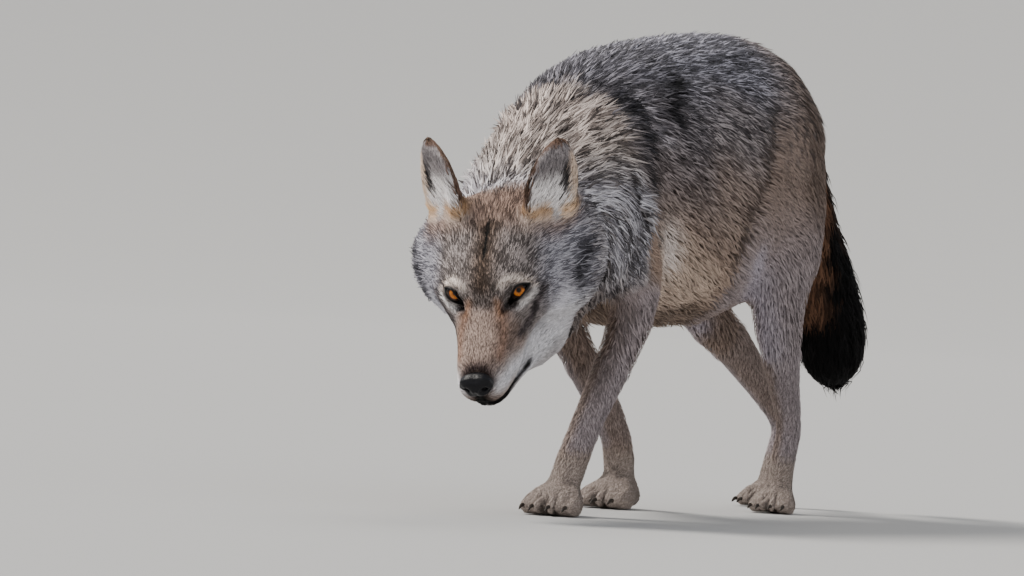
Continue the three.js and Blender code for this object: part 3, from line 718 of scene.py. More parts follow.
    # Dark hair round the nose, the eyes and the mouth.
    coat(trail(mirrored, ((0, -112, -18), (14, -114, -20), (25, -124, -34)), 9), "201618 483a3c 181214", 0.6)
    coat(trail(mirrored, TEAR_LINE, 3.6) * 1.1, "060505 0e0b0b 040303", 1)
    coat(trail(mirrored, LIP_LINE, 5.5) * 1.3 * whole, "040404 0a090a 030303", 1)
    coat(trail(mirrored, ((0, -136, -52), (2, -133, -66), (4, -122, -84), (14, -114, -90)), 14) * 1.3 * whole,
         "050505 0c0b0c 040404", 1)
    coat(trail(mirrored, ((43, -44, -96), (47, -32, -98)), 6) * 1.3 * whole, "050505 0e0c0d 040404", 1)
    coat(trail(mirrored, ((14, -116, -93), (27, -96, -92)), 9) * 1.3 * whole, "050505 0e0c0d 040404", 1)

    # Ears: rufous behind with a dark rim, white hair within from the inner corner, grey towards the tip.
    ear = part_of_points(belongs, "ear")
    up, out, open_side = ear_view(points, normals)
    coat(ear, "44342b 7e6658 46362d", 0.45)
    inner = ear * smoothstep(*INNER_EAR, open_side)
    coat(inner, "a09694 fffafa ece6e8", 0.01)
    coat(inner * smoothstep(0.46, 0.70, up) * 0.9, "4a4446 8c8486 4e484c", 0.3)
    # Painted shade: the pit low in the ear's hollow is near black.
    hollow = smoothstep(3, 9, out) * smoothstep(19, 14, out)
    hollow *= smoothstep(0.78, 0.60, up) * smoothstep(0.26, 0.40, up)
    coat(inner * hollow * 0.95, "100c0d 2a2426 100c0d", 0.8)
    inside = np.minimum(out - np.interp(up, EAR_STATIONS, ear_low), (1.02 - up) * 60)
    inside = np.minimum(inside, np.interp(up, EAR_STATIONS, ear_high) - out)
    coat(inner * smoothstep(14, 20, out) * smoothstep(0.92, 0.75, up), "8c7664 e6cfbc c8ae9a", 0.04)
    coat(ear * smoothstep(7.0, 3.5, inside) * smoothstep(0.10, 0.30, up) * (out < 8),
         "40302a 80665a 54423a", 0.35)
    coat(ear * smoothstep(3.0, 1.0, inside) * smoothstep(0.30, 0.55, up), "1c120e 54402f 20150f", 0.6)
    coat(ear * smoothstep(0.30, 0.10, up) * smoothstep(-8, -15, out), "8e6a4a d0a880 b08860", 0.12)
    coat(ear * smoothstep(0.22, 0.06, up) * smoothstep(-6, 6, out), "a87c58 f0c698 d8a878", 0.03)
    return look[:, :3], look[:, 3:6], look[:, 6:9], np.clip(look[:, 9], 0, 1)


# Painted shade: the hollows between the toes, beside the lids and under the lips are darkened, as where shade
# falls in them.
bulk = relaxed(skin_points, skin_edges, 14, hold=False)
hollow = ((bulk - skin_points) * skin_normals).sum(1)
painted_hollow_shade = 1 - 0.6 * smoothstep(0.0001, 0.0009, hollow) * (part_of["paw"] + 0.6 * part_of["face"])
outside = skin_points + skin_normals * region_blend(weights, DEPTH)[:, None]
root, band, tip, _ = markings(outside, skin_normals, weights)
skin_colour = 0.35 * root + 0.45 * band + 0.2 * tip
skin_colour *= ((0.86 + 0.10 * waves(skin_points, 0.004, 11)) * painted_hollow_shade)[:, None]
eye_rim = smoothstep(-3.2, -1.2, eye_aperture)
tear = trail(left_half(head_points) / 1000, TEAR_LINE, 3.0)
lips = trail(left_half(head_points) / 1000, LIP_LINE, 3.4)
dark_skin = np.maximum(np.maximum(eye_rim, tear), lips)[:, None]
skin_colour += dark_skin * (paint("120e0e") - skin_colour)


def set_colours(mesh, colours):
    layer = mesh.color_attributes.new("coat_colour", "FLOAT_COLOR", "POINT")
    layer.data.foreach_set("color", np.c_[colours, np.ones(len(colours))].astype(np.float32).ravel())


set_colours(skin_mesh, skin_colour)
bpy.ops.object.mode_set(mode="EDIT")
bpy.ops.mesh.select_all(action="SELECT")
bpy.ops.uv.smart_project(angle_limit=math.radians(66), island_margin=0.001)
bpy.ops.object.mode_set(mode="OBJECT")
skin_mesh.uv_layers[0].name = "OFBake"
skin_mesh.polygons.foreach_set("use_smooth", np.ones(len(skin_mesh.polygons), bool))


def feed(tree, node, inputs):
    """Sets each named input of a node to a value, or links it from another node's output."""
    for socket, value in inputs.items():
        if isinstance(value, bpy.types.NodeSocket):
            tree.links.new(value, node.inputs[socket])
        else:
            node.inputs[socket].default_value = value


def add_node(tree, kind, inputs, **fields):
    node = tree.nodes.new(f"ShaderNode{kind}")
    for field, value in fields.items():
        setattr(node, field, value)
    feed(tree, node, inputs)
    return node


def map_range(tree, value, to_low, to_high, from_low=0, from_high=1):
    ends = {"From Min": from_low, "From Max": from_high, "To Min": to_low, "To Max": to_high}
    return add_node(tree, "MapRange", {"Value": value, **ends}).outputs["Result"]


def scaled(tree, colour, factor):
    return add_node(tree, "VectorMath", {0: colour, "Scale": factor}, operation="SCALE").outputs["Vector"]


def object_place(tree):
    return add_node(tree, "TexCoord", {}).outputs["Object"]


# Hide and hair share one finish: the painted colour, broken up by fine grain, dull, with a low fine bump.
hair_grain = bpy.data.node_groups.new("hair_grain", "ShaderNodeTree")
for way, socket_name, socket_kind in (
    ("INPUT", "Colour", "Color"), ("INPUT", "Grain", "Float"),
    ("OUTPUT", "Colour", "Color"), ("OUTPUT", "Roughness", "Float"), ("OUTPUT", "Height", "Float"),
):
    hair_grain.interface.new_socket(socket_name, in_out=way, socket_type=f"NodeSocket{socket_kind}")
given = hair_grain.nodes.new("NodeGroupInput").outputs
grain_inputs = {"Vector": object_place(hair_grain), "Scale": given["Grain"], "Detail": 3}
grain = add_node(hair_grain, "TexNoise", grain_inputs).outputs["Fac"]
feed(hair_grain, hair_grain.nodes.new("NodeGroupOutput"), {
    "Colour": scaled(hair_grain, given["Colour"], map_range(hair_grain, grain, 0.82, 1.14, 0.3, 0.7)),
    "Roughness": map_range(hair_grain, grain, 0.55, 0.8),
    "Height": grain,
})


def hair_material(name, grain_scale, specular, strands=False):
    """The finish of the hide or, with fine strands along each lock, of the hair."""
    material, shader = principled(name, Specular_IOR_Level=specular)
    tree = material.node_tree
    colour = add_node(tree, "Attribute", {}, attribute_name="coat_colour").outputs["Color"]
    if strands:
        place = add_node(tree, "UVMap", {}, uv_map="strands").outputs["UV"]
        spread = add_node(tree, "VectorMath", {0: place, 1: (9.0, 0.9, 1.0)}, operation="MULTIPLY")
        noise = add_node(tree, "TexNoise", {"Vector": spread.outputs["Vector"], "Scale": 1.0, "Detail": 2.0})
        colour = scaled(tree, colour, map_range(tree, noise.outputs["Fac"], 0.68, 1.28, 0.32, 0.68))
    finish = add_node(tree, "Group", {}, node_tree=hair_grain)
    feed(tree, finish, {"Colour": colour, "Grain": grain_scale})
    bump = add_node(tree, "Bump", {"Strength": 0.6, "Distance": 0.001, "Height": finish.outputs["Height"]})
    feed(tree, shader, {
        "Base Color": finish.outputs["Colour"],
        "Roughness": finish.outputs["Roughness"],
        "Normal": bump.outputs["Normal"],
    })
    return material


skin_mesh.materials.clear()
skin_mesh.materials.append(hair_material("hide", 620, 0.25))
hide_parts(*FLESH)
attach(skin, "root")

# ---- Coat
# Locks of hair root by root over the skin. Each is a thin three-sided blade that follows the lie of the
# coat over the body, gathers with its neighbours towards the tip and ends in a point.

SEED = 2311
SIDE_LIGHT = 0.55  # how far the flanks of a lock turn from the way the hide faces
LOCK_LIFT = 0.0008  # the least height of a lock over the ground
RIDGE_HEIGHT = 0.30  # of a lock, for its width
LENGTHS, WIDTHS, LIFTS = (0.72, 1.25), (0.75, 1.25), (0.8, 1.12)  # least and most, for the size of the region
STRAYS, STRAY_LIFT = 0.04, 1.25
TURN = 0.16  # how far a lock strays from the lie of the coat
LEAN_MOST = 2.2  # of a lock to the middle of its clump, for its width
FALL_MOST = 0.25  # of a lock into a hollow, for the length of its step
CLUMP_SHADES, LOCK_SHADES = (0.86, 1.12), (0.84, 1.14)
ROOT_SHADE = 0.62
BAND_SHARE = 0.42  # where along a lock the colour of the band is full
UV_PATCH = 0.003  # the size of a lock's patch of the map
LOCK_SIZES = {  # length, width and height of the tip in metres
    "face": (0.0080, 0.0013, 0.0017), "skull": (0.019, 0.0019, 0.0075), "ear": (0.010, 0.0014, 0.0014),
    "neck": (0.046, 0.0034, 0.0215), "trunk": (0.034, 0.0029, 0.0135), "tail": (0.060, 0.0042, 0.017),
    "upper": (0.016, 0.0019, 0.0055), "lower": (0.0100, 0.0015, 0.0023), "paw": (0.0065, 0.0013, 0.0014),
}
CLOSE_HAIR = (0.018, 0.0022, 0.0055)  # on the thigh and upper arm
RUFF_HAIR = (0.034, 0.0026, 0.0130)  # on the cheeks
INNER_EAR_HAIR = (0.024, 0.0015, 0.0050)
LOCK_SHAPES = {  # for each number of rings: shares of length, height, width and colour from root to tip
    2: ((0.0, 0.45, 1.0), (-0.10, 0.75, 1.0), (0.8, 0.9, 0), (0.0, 0.5, 1.0)),
    3: ((0.0, 0.32, 0.68, 1.0), (-0.08, 0.50, 0.88, 1.0), (0.75, 1.0, 0.72, 0), (0.0, 0.42, 0.8, 1.0)),
}
LOCK_SIDES = ((0, 1), (1, 2), (2, 0))  # between the three points of a ring


def unit(vectors, least=1e-9):
    return vectors / np.maximum(np.linalg.norm(vectors, axis=-1), least)[..., None]


def along_hide(ways, normals, least=1e-9):
    """The ways with their lean out of the hide taken off, one unit long."""
    return unit(ways - (ways * normals).sum(1)[:, None] * normals, least)


def lie_of_coat(points, normals, belongs):
    """The way the hair lies at each place: a unit direction along the hide."""
    head = head_view(points)
    side = np.sign(head[:, 0])
    cheek = smoothstep(40, 95, np.abs(head[:, 0])) * smoothstep(-40, 40, head[:, 1])
    under = smoothstep(-60, -110, head[:, 2])
    ways = np.zeros((len(points), 3))
    backwards = np.ones(len(points))
    head_way = np.stack([side * (0.10 + 0.75 * cheek), backwards, 0.08 - 0.65 * cheek - 0.12 * under], 1)
    whole = part_of_points(belongs, "face") + part_of_points(belongs, "skull")
    ways += whole[:, None] * (head_way @ from_head[:3, :3].T)
    up, out, open_side = ear_view(points, normals)
    within = smoothstep(*INNER_EAR, open_side)
    upwards = np.where(head[:, :1] > 0, ear_ways[1], ear_ways[-1]) / 100
    upwards[:, 0] += within * smoothstep(0.8, 0.3, up) * 0.9 * side
    ways += 1.6 * part_of_points(belongs, "ear")[:, None] * (upwards @ from_head[:3, :3].T)
    top = smoothstep(0.1, 0.8, normals[:, 2])
    outer = np.sign(points[:, 0])
    neck_way = np.stack([0.10 * outer, 0.80 + 0.15 * top, -0.55 + 0.85 * top], 1)
    trunk_way = np.stack([0.05 * outer * top, 0.9 + 0.1 * top, -0.48 + 0.46 * top], 1)
    belly = smoothstep(-0.3, -0.8, normals[:, 2])
    trunk_way[:, 2] += 0.4 * belly
    chest = smoothstep(-0.22, -0.30, points[:, 1]) * smoothstep(0.42, 0.34, points[:, 2])
    trunk_way += chest[:, None] * (np.array((0, 0.35, -0.8)) - trunk_way)
    rump = smoothstep(0.24, 0.34, points[:, 1])
    trunk_way += rump[:, None] * (np.array((0, 0.45, -0.9)) - trunk_way)
    tail_way = np.array((0.0, 0.35, -0.9)) + 0.16 * normals
    for name, way in (
        ("neck", neck_way), ("trunk", trunk_way), ("tail", tail_way), ("upper", np.array((0, 0.35, -1.0))),
        ("lower", np.array((0, 0.12, -1.0))), ("paw", np.array((0, -0.8, -0.35))),
    ):
        ways += part_of_points(belongs, name)[:, None] * way
    return along_hide(ways, normals, 1e-6)


hair_ways = relaxed(lie_of_coat(skin_points, skin_normals, weights), skin_edges, 12, hold=False)
hair_ways = unit(hair_ways, 1e-6)
lock_sizes = weights @ np.array([LOCK_SIZES[name] for name in REGION_NAMES])
thigh, arm, ruff = coat_zones(skin_points)
up, out, open_side = ear_view(skin_points, skin_normals)
within = smoothstep(*INNER_EAR, open_side)
for share, sizes in (
    (np.maximum(thigh, arm) * np.maximum(part_of["trunk"] + part_of["upper"], part_of["neck"]), CLOSE_HAIR),
    (ruff * (part_of["face"] + part_of["skull"]), RUFF_HAIR),
    (within * part_of["ear"] * smoothstep(0.7, 0.45, up) * smoothstep(12, 2, out), INNER_EAR_HAIR),
):
    lock_sizes += np.clip(share, 0, 1)[:, None] * (np.array(sizes) - lock_sizes)

skin_mesh.calc_loop_triangles()
skin_triangles = read(skin_mesh.loop_triangles, "vertices", 3, np.int32)
skin_loops = read(skin_mesh.loop_triangles, "loops", 3, np.int32)
skin_uvs = read(skin_mesh.uv_layers["OFBake"].data, "uv", 2)
skin_tree = BVHTree.FromPolygons(skin_points.tolist(), skin_triangles.tolist())
triangle_corners = skin_points[skin_triangles]
first, second, third = triangle_corners.transpose(1, 0, 2)
triangle_areas = np.linalg.norm(np.cross(second - first, third - first), axis=1) / 2
triangle_middles = triangle_corners.mean(1)
triangle_region = weights[skin_triangles].mean(1).argmax(1)


def region_is(*names):
    return np.isin(triangle_region, [REGION_NAMES.index(name) for name in names])


def on_skin(points):
    """The nearest place on the hide, its normal, the lie of the coat there and what it belongs to."""
    found = [skin_tree.find_nearest(point) for point in points.tolist()]
    places = np.array([hit[0] for hit in found])
    index = np.array([hit[2] for hit in found])
    share = 1 / (np.linalg.norm(triangle_corners[index] - places[:, None], axis=2) + 2e-4)
    share /= share.sum(1)[:, None]
    nearby = skin_triangles[index]
    normal = unit((skin_normals[nearby] * share[..., None]).sum(1))
    way = (hair_ways[nearby] * share[..., None]).sum(1)
    belongs = (weights[nearby] * share[..., None]).sum(1)
    return places, normal, along_hide(way, normal), belongs


def grow(name, chosen, lock_count, rings, seed, clump=6.0, clump_share=0.5, bare=None):
    """One piece of the coat over the chosen triangles of the hide."""
    draw = np.random.default_rng(SEED + seed)
    size_here = lock_sizes[skin_triangles].mean(1)
    want = triangle_areas * chosen / (size_here[:, 0] * size_here[:, 1])
    total = np.cumsum(want)
    picks = (np.arange(lock_count) + draw.uniform(0, 1, lock_count)) / lock_count * total[-1]
    index = np.searchsorted(total, picks).clip(0, len(want) - 1)
    one, two = draw.uniform(0, 1, (2, lock_count))
    one, two = np.where(one + two > 1, 1 - one, one), np.where(one + two > 1, 1 - two, two)
    bary = np.stack([1 - one - two, one, two], 1)
    vert = skin_triangles[index]

    def from_corners(values):
        return (values[vert] * (bary[..., None] if values.ndim > 1 else bary)).sum(1)

    root_place = from_corners(skin_points)
    if bare is not None:
        keep = draw.uniform(0, 1, lock_count) > from_corners(bare)
        index, bary, vert, root_place = index[keep], bary[keep], vert[keep], root_place[keep]
        lock_count = len(index)
    root_uv = (skin_uvs[skin_loops[index]] * bary[..., None]).sum(1)
    # the painted shade of the hollow that the lock grows from
    root_hollow_shade = from_corners(painted_hollow_shade)
    normal = unit(from_corners(skin_normals))
    way = along_hide(from_corners(hair_ways), normal)
    size = from_corners(lock_sizes)
    length = size[:, 0] * draw.uniform(*LENGTHS, lock_count)
    width = size[:, 1] * draw.uniform(*WIDTHS, lock_count)
    lift = size[:, 2] * draw.uniform(*LIFTS, lock_count)
    lift *= 0.1 + 0.9 * smoothstep(0.0, 0.012, root_place[:, 2])
    lift = np.where(draw.uniform(0, 1, lock_count) < STRAYS, lift * STRAY_LIFT, lift)
    # Neighbours share a clump: their tips lean towards the lock in its middle.
    middles = draw.choice(lock_count, max(int(lock_count / clump), 1), replace=False)
    clump_tree = KDTree(len(middles))
    for number, middle in enumerate(middles.tolist()):
        clump_tree.insert(root_place[middle].tolist(), number)
    clump_tree.balance()
    nearest = np.array([clump_tree.find(place)[1] for place in root_place.tolist()])
    lean = root_place[middles[nearest]] - root_place
    lean -= (lean * normal).sum(1)[:, None] * normal
    lean -= 0.5 * (lean * way).sum(1)[:, None] * way
    reach = np.maximum(np.linalg.norm(lean, axis=1), 1e-6)
    lean *= np.minimum(1, LEAN_MOST * width / reach)[:, None] * clump_share
    clump_shade = draw.uniform(*CLUMP_SHADES, len(middles))[nearest]
    turn = draw.normal(0, TURN, lock_count)
    way = unit(way + turn[:, None] * np.cross(normal, way))

    steps, heights, widths, along = LOCK_SHAPES[rings]
    centres, normals, ways = [root_place], [normal], [way]
    place = root_place
    for number in range(1, rings + 1):
        step = length * (steps[number] - steps[number - 1])
        free = place + way * step[:, None]
        held, here_normal, here_way, belongs = on_skin(free)
        # Hair follows the hide up over a rise, but bridges a hollow or an edge instead of dropping into it.
        drop = held - free
        fall = -(drop * normals[-1]).sum(1)
        share = np.where(fall > 0, np.minimum(1, FALL_MOST * step / np.maximum(fall, 1e-6)), 1)[:, None]
        place = free + drop * share
        here_normal = unit(normals[-1] * (1 - share) + here_normal * share)
        here_way = unit(ways[-1] * (1 - share) + here_way * share)
        way = unit(here_way + turn[:, None] * np.cross(here_normal, here_way))
        centres.append(place)
        normals.append(here_normal)
        ways.append(way)
    tip_place = held + here_normal * lift[:, None]
    root_colour, band_colour, tip_colour, dark_share = markings(tip_place, here_normal, belongs)

    # Three points a ring and one at the tip. The locks take the light softly, leaning towards the hide's way.
    rows, shading = [], []
    for number, step in enumerate(steps):
        middle = centres[number] + normals[number] * (lift * heights[number])[:, None] + lean * step ** 1.5
        middle[:, 2] = np.maximum(middle[:, 2], LOCK_LIFT)
        over = normals[number] + 0.25 * ways[number]
        if number == rings:
            rows.append(middle[:, None])
            shading.append(over[:, None])
            break
        aside = np.cross(ways[number], normals[number])
        half = aside * (width * widths[number] / 2)[:, None]
        ridge = middle + normals[number] * (width * widths[number] * RIDGE_HEIGHT)[:, None]
        rows.append(np.stack([middle - half, ridge, middle + half], 1))
        shading.append(np.stack([over - aside * SIDE_LIGHT, over, over + aside * SIDE_LIGHT], 1))
    points = np.concatenate(rows, 1)
    last, tip_at = 3 * rings - 3, 3 * rings
    quads = [
        (low + one, low + two, low + 3 + two, low + 3 + one)
        for low in range(0, last, 3) for one, two in LOCK_SIDES
    ]
    tris = [(0, 2, 1)] + [(last + one, last + two, tip_at) for one, two in LOCK_SIDES]
    starts = (np.arange(lock_count) * (tip_at + 1))[:, None]
    loops = np.concatenate([starts + np.array(quads).ravel(), starts + np.array(tris).ravel()], 1)
    face_sizes = np.tile([4] * len(quads) + [3] * len(tris), lock_count)
    face_starts = np.concatenate([[0], np.cumsum(face_sizes)[:-1]])
    mesh = bpy.data.meshes.new(name)
    mesh.vertices.add(lock_count * (tip_at + 1))
    mesh.loops.add(loops.size)
    mesh.polygons.add(len(face_sizes))
    mesh.vertices.foreach_set("co", points.astype(np.float32).ravel())
    mesh.loops.foreach_set("vertex_index", loops.astype(np.int32).ravel())
    mesh.polygons.foreach_set("loop_start", face_starts.astype(np.int32))
    mesh.update(calc_edges=True)
    mesh.polygons.foreach_set("use_smooth", np.ones(len(face_sizes), bool))
    mesh.normals_split_custom_set_from_vertices(unit(np.concatenate(shading, 1).reshape(-1, 3)).tolist())

    is_dark = draw.uniform(0, 1, lock_count) < dark_share * (1 + 0.55 * waves(held, 0.012, 31))
    is_dark = is_dark[:, None]
    # Random clump and lock tone, times the painted shade of the hollow at the root.
    shade = (clump_shade * draw.uniform(*LOCK_SHADES, lock_count) * root_hollow_shade)[:, None]
    light_tip = 0.55 * band_colour * 1.15 + 0.45 * tip_colour
    end_colour = np.where(is_dark, tip_colour * 0.75, light_tip)
    band_colour = np.where(is_dark, 0.35 * band_colour + 0.65 * end_colour, band_colour)
    colours = []
    for number, share in enumerate(along):
        lower_part = min(share / BAND_SHARE, 1)
        upper_part = max((share - BAND_SHARE) / (1 - BAND_SHARE), 0)
        colour = root_colour * ROOT_SHADE * (1 - lower_part) + band_colour * lower_part
        colour = colour * (1 - upper_part) + end_colour * upper_part
        colours.append(np.repeat((colour * shade)[:, None], 3 if number < rings else 1, 1))
    set_colours(mesh, np.concatenate(colours, 1).reshape(-1, 3))

    patch = np.stack([np.array([0, 0.5, 1] * rings + [0.5]), np.repeat(along, [3] * rings + [1])], 1)
    patch_uv = (root_uv[:, None] + UV_PATCH * (patch - 0.5)).reshape(-1, 2)
    strand_uv = (patch[None] + draw.uniform(0, 40, (lock_count, 1, 2)).round(1)).reshape(-1, 2)
    for layer_name, values in (("OFBake", patch_uv), ("strands", strand_uv)):
        layer = mesh.uv_layers.new(name=layer_name)
        layer.data.foreach_set("uv", values[loops.ravel()].astype(np.float32).ravel())
    piece = new_object(name, mesh)
    mesh.materials.append(coat_material)
    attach(piece, "root")


coat_material = hair_material("hair", 900, 0.1, strands=True)
bare_skin = np.maximum(smoothstep(-4.0, -1.8, eye_aperture), smoothstep(0.45, 0.75, np.maximum(tear, lips)))
# The pit of each ear is left mostly bare of locks, so its painted shade on the hide shows.
ear_pit = part_of["ear"] * smoothstep(0.05, 0.4, open_side)
ear_pit *= np.exp(-((up - 0.42) / 0.15) ** 2 - ((out - 12) / 8) ** 2)
bare_skin = np.maximum(bare_skin, 0.85 * ear_pit)
upper_half = triangle_middles[:, 2] > 0.50
front_half = triangle_middles[:, 1] < 0.1
legs = region_is("upper", "lower", "paw")
grow("coat_neck", region_is("neck"), 19500, 2, 1, clump=9, clump_share=0.75)
grow("coat_back", region_is("trunk") & upper_half, 19500, 2, 2, clump=8, clump_share=0.6)
grow("coat_flanks", region_is("trunk") & ~upper_half, 19500, 2, 3, clump=6, clump_share=0.3)
grow("coat_tail", region_is("tail"), 5200, 3, 4)
grow("coat_skull", region_is("skull"), 19500, 2, 5, bare=bare_skin)
grow("coat_face", region_is("face"), 19900, 2, 6, clump=4, clump_share=0.3, bare=bare_skin)
grow("coat_ears", region_is("ear"), 7500, 2, 7, clump=4, clump_share=0.3, bare=bare_skin)
grow("coat_forelegs", legs & front_half, 16000, 2, 8)
grow("coat_hindlegs", legs & ~front_half, 16000, 2, 9)

# ---- Eyes
# Amber irises under a clear wet cornea, each in a black lid rim that closes the almond cut in the skin.

GAZE = Vector((0.278, -0.673, 0.685)).normalized()  # in the head's frame, the same for both
IRIS_RADIUS = 8.2
IRIS_MARGIN, CORNEA_MARGIN = 0.4, 0.6  # beyond the iris
CORNEA_RISE = 1.3
BEHIND = 40  # marks the back of the eyeball as far outside the iris
IRIS_COLOURS = (  # from the middle of the pupil to beyond the edge of the iris
    (0.29, (0.004, 0.003, 0.003)), (0.33, (0.16, 0.045, 0.008)), (0.50, (0.50, 0.16, 0.022)),
    (0.78, (0.58, 0.19, 0.026)), (0.90, (0.24, 0.06, 0.012)), (0.97, (0.02, 0.009, 0.006)),
)


def colour_ramp(tree, value, low, high):
    """A ramp between two ends, each a position and a colour."""
    node = add_node(tree, "ValToRGB", {"Fac": value})
    for element, (position, colour) in zip(node.color_ramp.elements, (low, high)):
        element.position = position
        element.color = (*colour, 1)
    return node


eye_material, eye_shader = principled(
    "eye", Roughness=0.06, Specular_IOR_Level=0.2, Coat_Weight=0.05, Coat_Roughness=0.03)
eye_tree = eye_material.node_tree
eye_place = add_node(eye_tree, "Attribute", {}, attribute_name="iris_place").outputs["Vector"]
eye_reach = add_node(eye_tree, "VectorMath", {0: eye_place}, operation="LENGTH").outputs["Value"]
eye_ramp = colour_ramp(eye_tree, eye_reach, (0.0, (0.004, 0.003, 0.003)), (1.0, (0.03, 0.018, 0.012)))
for position, colour in IRIS_COLOURS:
    eye_ramp.color_ramp.elements.new(position).color = (*colour, 1)
fibre_way = add_node(eye_tree, "VectorMath", {0: eye_place}, operation="NORMALIZE").outputs["Vector"]
fibres = add_node(eye_tree, "TexNoise", {"Vector": fibre_way, "Scale": 13, "Detail": 4}).outputs["Fac"]
eye_colour = scaled(eye_tree, eye_ramp.outputs["Color"], map_range(eye_tree, fibres, 0.6, 1.35, 0.3, 0.7))
iris_height = add_node(eye_tree, "SeparateXYZ", {"Vector": eye_place}).outputs["Y"]
lid_shadow = map_range(eye_tree, iris_height, 1.0, 0.10, 0.02, 0.42)
feed(eye_tree, eye_shader, {"Base Color": scaled(eye_tree, eye_colour, lid_shadow)})

look = (head_turn @ GAZE).to_track_quat("Z", "Y").to_matrix().to_4x4()
for side_name, centre in eye_centres.items():
    bpy.ops.mesh.primitive_uv_sphere_add(segments=72, ring_count=48, radius=EYE_RADIUS / 1000)
    eye = bpy.context.object
    eye.name = f"eyeball_{side_name}"
    local = mesh_points(eye.data) * 1000
    reach = np.hypot(local[:, 0], local[:, 1])
    bulge = CORNEA_RISE * np.clip(1 - (reach / (IRIS_RADIUS + CORNEA_MARGIN)) ** 2, 0, 1) * (local[:, 2] > 0)
    iris_place = np.stack([local[:, 0], local[:, 1], np.where(local[:, 2] > 0, 0, BEHIND)], 1)
    iris_place /= IRIS_RADIUS + IRIS_MARGIN
    local *= (1 + bulge / EYE_RADIUS)[:, None]
    set_points(eye.data, local / 1000)
    layer = eye.data.attributes.new("iris_place", "FLOAT_VECTOR", "POINT")
    layer.data.foreach_set("vector", iris_place.astype(np.float32).ravel())
    eye.data.transform(Matrix.Translation(centre) @ look)
    bpy.ops.object.shade_smooth()
    eye.data.materials.append(eye_material)
    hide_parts(f"eye_{side_name}")
    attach(eye, "root")

RIM_STEPS = 36
RIM_SUNK = 0.55  # of the middle of the rim, below the front of the lid
rim_material, _ = principled(
    "lid_rim", Base_Color=(0.003, 0.002, 0.002, 1), Specular_IOR_Level=0.25, Roughness=0.42)
for side_name, side in SIDES.items():
    share = np.linspace(0, 1, RIM_STEPS)
    out = LID_CORNERS[0] + share * (LID_CORNERS[1] - LID_CORNERS[0])
    upper, lower = lid_edges(share)
    round_eye = np.concatenate([np.stack([out, upper], 1), np.stack([out, lower], 1)[-2:0:-1]])
    thick = np.concatenate([0.95 + 0.6 * np.sin(np.pi * share), (0.85 + 0 * share)[-2:0:-1]])
    front = lid_front(np.hypot(round_eye[:, 0], round_eye[:, 1])) - RIM_SUNK
    path = EYE_MIDDLE + round_eye[:, :1] * EYE_OUTWARD + round_eye[:, 1:] * EYE_UPWARD
    path = world_view((path + front[:, None] * EYE_FORWARD) * (side, 1, 1))
    line = bpy.data.curves.new(f"lid_rim_{side_name}", "CURVE")
    line.dimensions = "3D"
    line.bevel_depth = 0.001
    line.bevel_resolution = 4
    spline = line.splines.new("POLY")
    spline.points.add(len(path) - 1)
    spline.points.foreach_set("co", np.c_[path, np.ones(len(path))].astype(np.float32).ravel())
    spline.points.foreach_set("radius", thick.astype(np.float32))
    spline.use_cyclic_u = True
    new_object(line.name, line)
    bpy.ops.object.convert(target="MESH")
    bpy.ops.object.shade_smooth()
    bpy.context.object.data.materials.append(rim_material)
    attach(bpy.context.object, "root")

# ---- Nose
# Black pebbled leather with two nostrils drawn out to the sides and a groove down the middle.

NOSE_GRAIN = 0.0009
NOSE_FORMS = (
    ((12.5, -146, -38), (5.0, 9, 4.6), (0, 9, 0)),  # nostril
    ((19, -138, -43), (5.5, 7, 2.4), (-3.0, 3, 0)),  # its slit to the side
    ((0, -147, -45), (1.5, 8, 11), (0, 2.4, 0)),  # groove down the middle
    ((13, -138, -27), (9, 9, 6), (1.2, 0, 1.8)),  # wing over the nostril
    ((0, -136, -21), (4, 14, 6), (0, 0, -1.4)),  # dip on top
    ((12, -142, -47), (7, 8, 5), (0, -1.2, -0.6)),  # pad below the nostril
)
nose = new_object("nose_leather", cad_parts["nose"].data.copy())
nose_mesh = remeshed(nose, NOSE_GRAIN)
nose_edges = mesh_edges(nose_mesh)
nose_points = pushed(head_view(relaxed(mesh_points(nose_mesh), nose_edges, 30)), NOSE_FORMS)
set_points(nose_mesh, world_view(relaxed(nose_points, nose_edges, 4, hold=False)))
bpy.ops.object.shade_smooth()
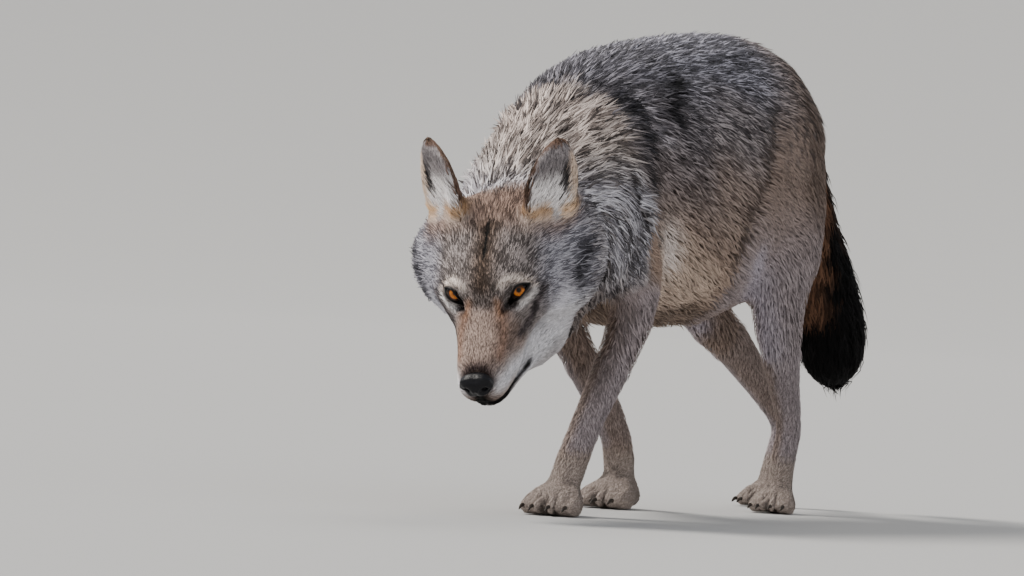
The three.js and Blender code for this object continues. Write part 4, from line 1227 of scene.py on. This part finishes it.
leather, leather_shader = principled(
    "nose_leather", Base_Color=(0.004, 0.004, 0.006, 1), Specular_IOR_Level=0.22)
leather_tree = leather.node_tree
pebble_inputs = {"Vector": object_place(leather_tree), "Scale": 620}
pebbles = add_node(leather_tree, "TexVoronoi", pebble_inputs).outputs["Distance"]
bump_inputs = {"Strength": 0.5, "Distance": 0.0006, "Height": pebbles}
pebble_bump = add_node(leather_tree, "Bump", bump_inputs, invert=True)
feed(leather_tree, leather_shader, {
    "Roughness": map_range(leather_tree, pebbles, 0.28, 0.5),
    "Normal": pebble_bump.outputs["Normal"],
})
nose_mesh.materials.clear()
nose_mesh.materials.append(leather)
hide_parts("nose")
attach(nose, "root")

# ---- Claws
# Blunt dark horn, the four of each foot in one piece.

horn, horn_shader = principled("horn", Roughness=0.5, Specular_IOR_Level=0.18)
horn_tree = horn.node_tree
horn_noise = add_node(horn_tree, "TexNoise", {"Vector": object_place(horn_tree), "Scale": 260}).outputs["Fac"]
horn_ramp = colour_ramp(horn_tree, horn_noise, (0.3, (0.012, 0.010, 0.009)), (0.75, (0.06, 0.045, 0.035)))
feed(horn_tree, horn_shader, {"Base Color": horn_ramp.outputs["Color"]})
for leg in LEGS:
    claw_nodes = [f"{leg}_claw_{claw}" for claw in CLAWS]
    claws = bmesh.new()
    for claw_node in claw_nodes:
        claws.from_mesh(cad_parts[claw_node].data)
    bmesh.ops.remove_doubles(claws, verts=claws.verts, dist=MERGE)
    bmesh.ops.dissolve_limit(claws, verts=claws.verts, edges=claws.edges, angle_limit=math.radians(3))
    bmesh.ops.recalc_face_normals(claws, faces=claws.faces)
    claw_mesh = bpy.data.meshes.new(f"claws_{leg}")
    claws.to_mesh(claw_mesh)
    claws.free()
    claw_piece = new_object(claw_mesh.name, claw_mesh)
    rounding = claw_piece.modifiers.new("round", "SUBSURF")
    rounding.levels = rounding.render_levels = 2
    bpy.ops.object.modifier_apply(modifier=rounding.name)
    bpy.ops.object.shade_smooth()
    claw_piece.data.materials.clear()
    claw_piece.data.materials.append(horn)
    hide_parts(*claw_nodes)
    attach(claw_piece, "root")
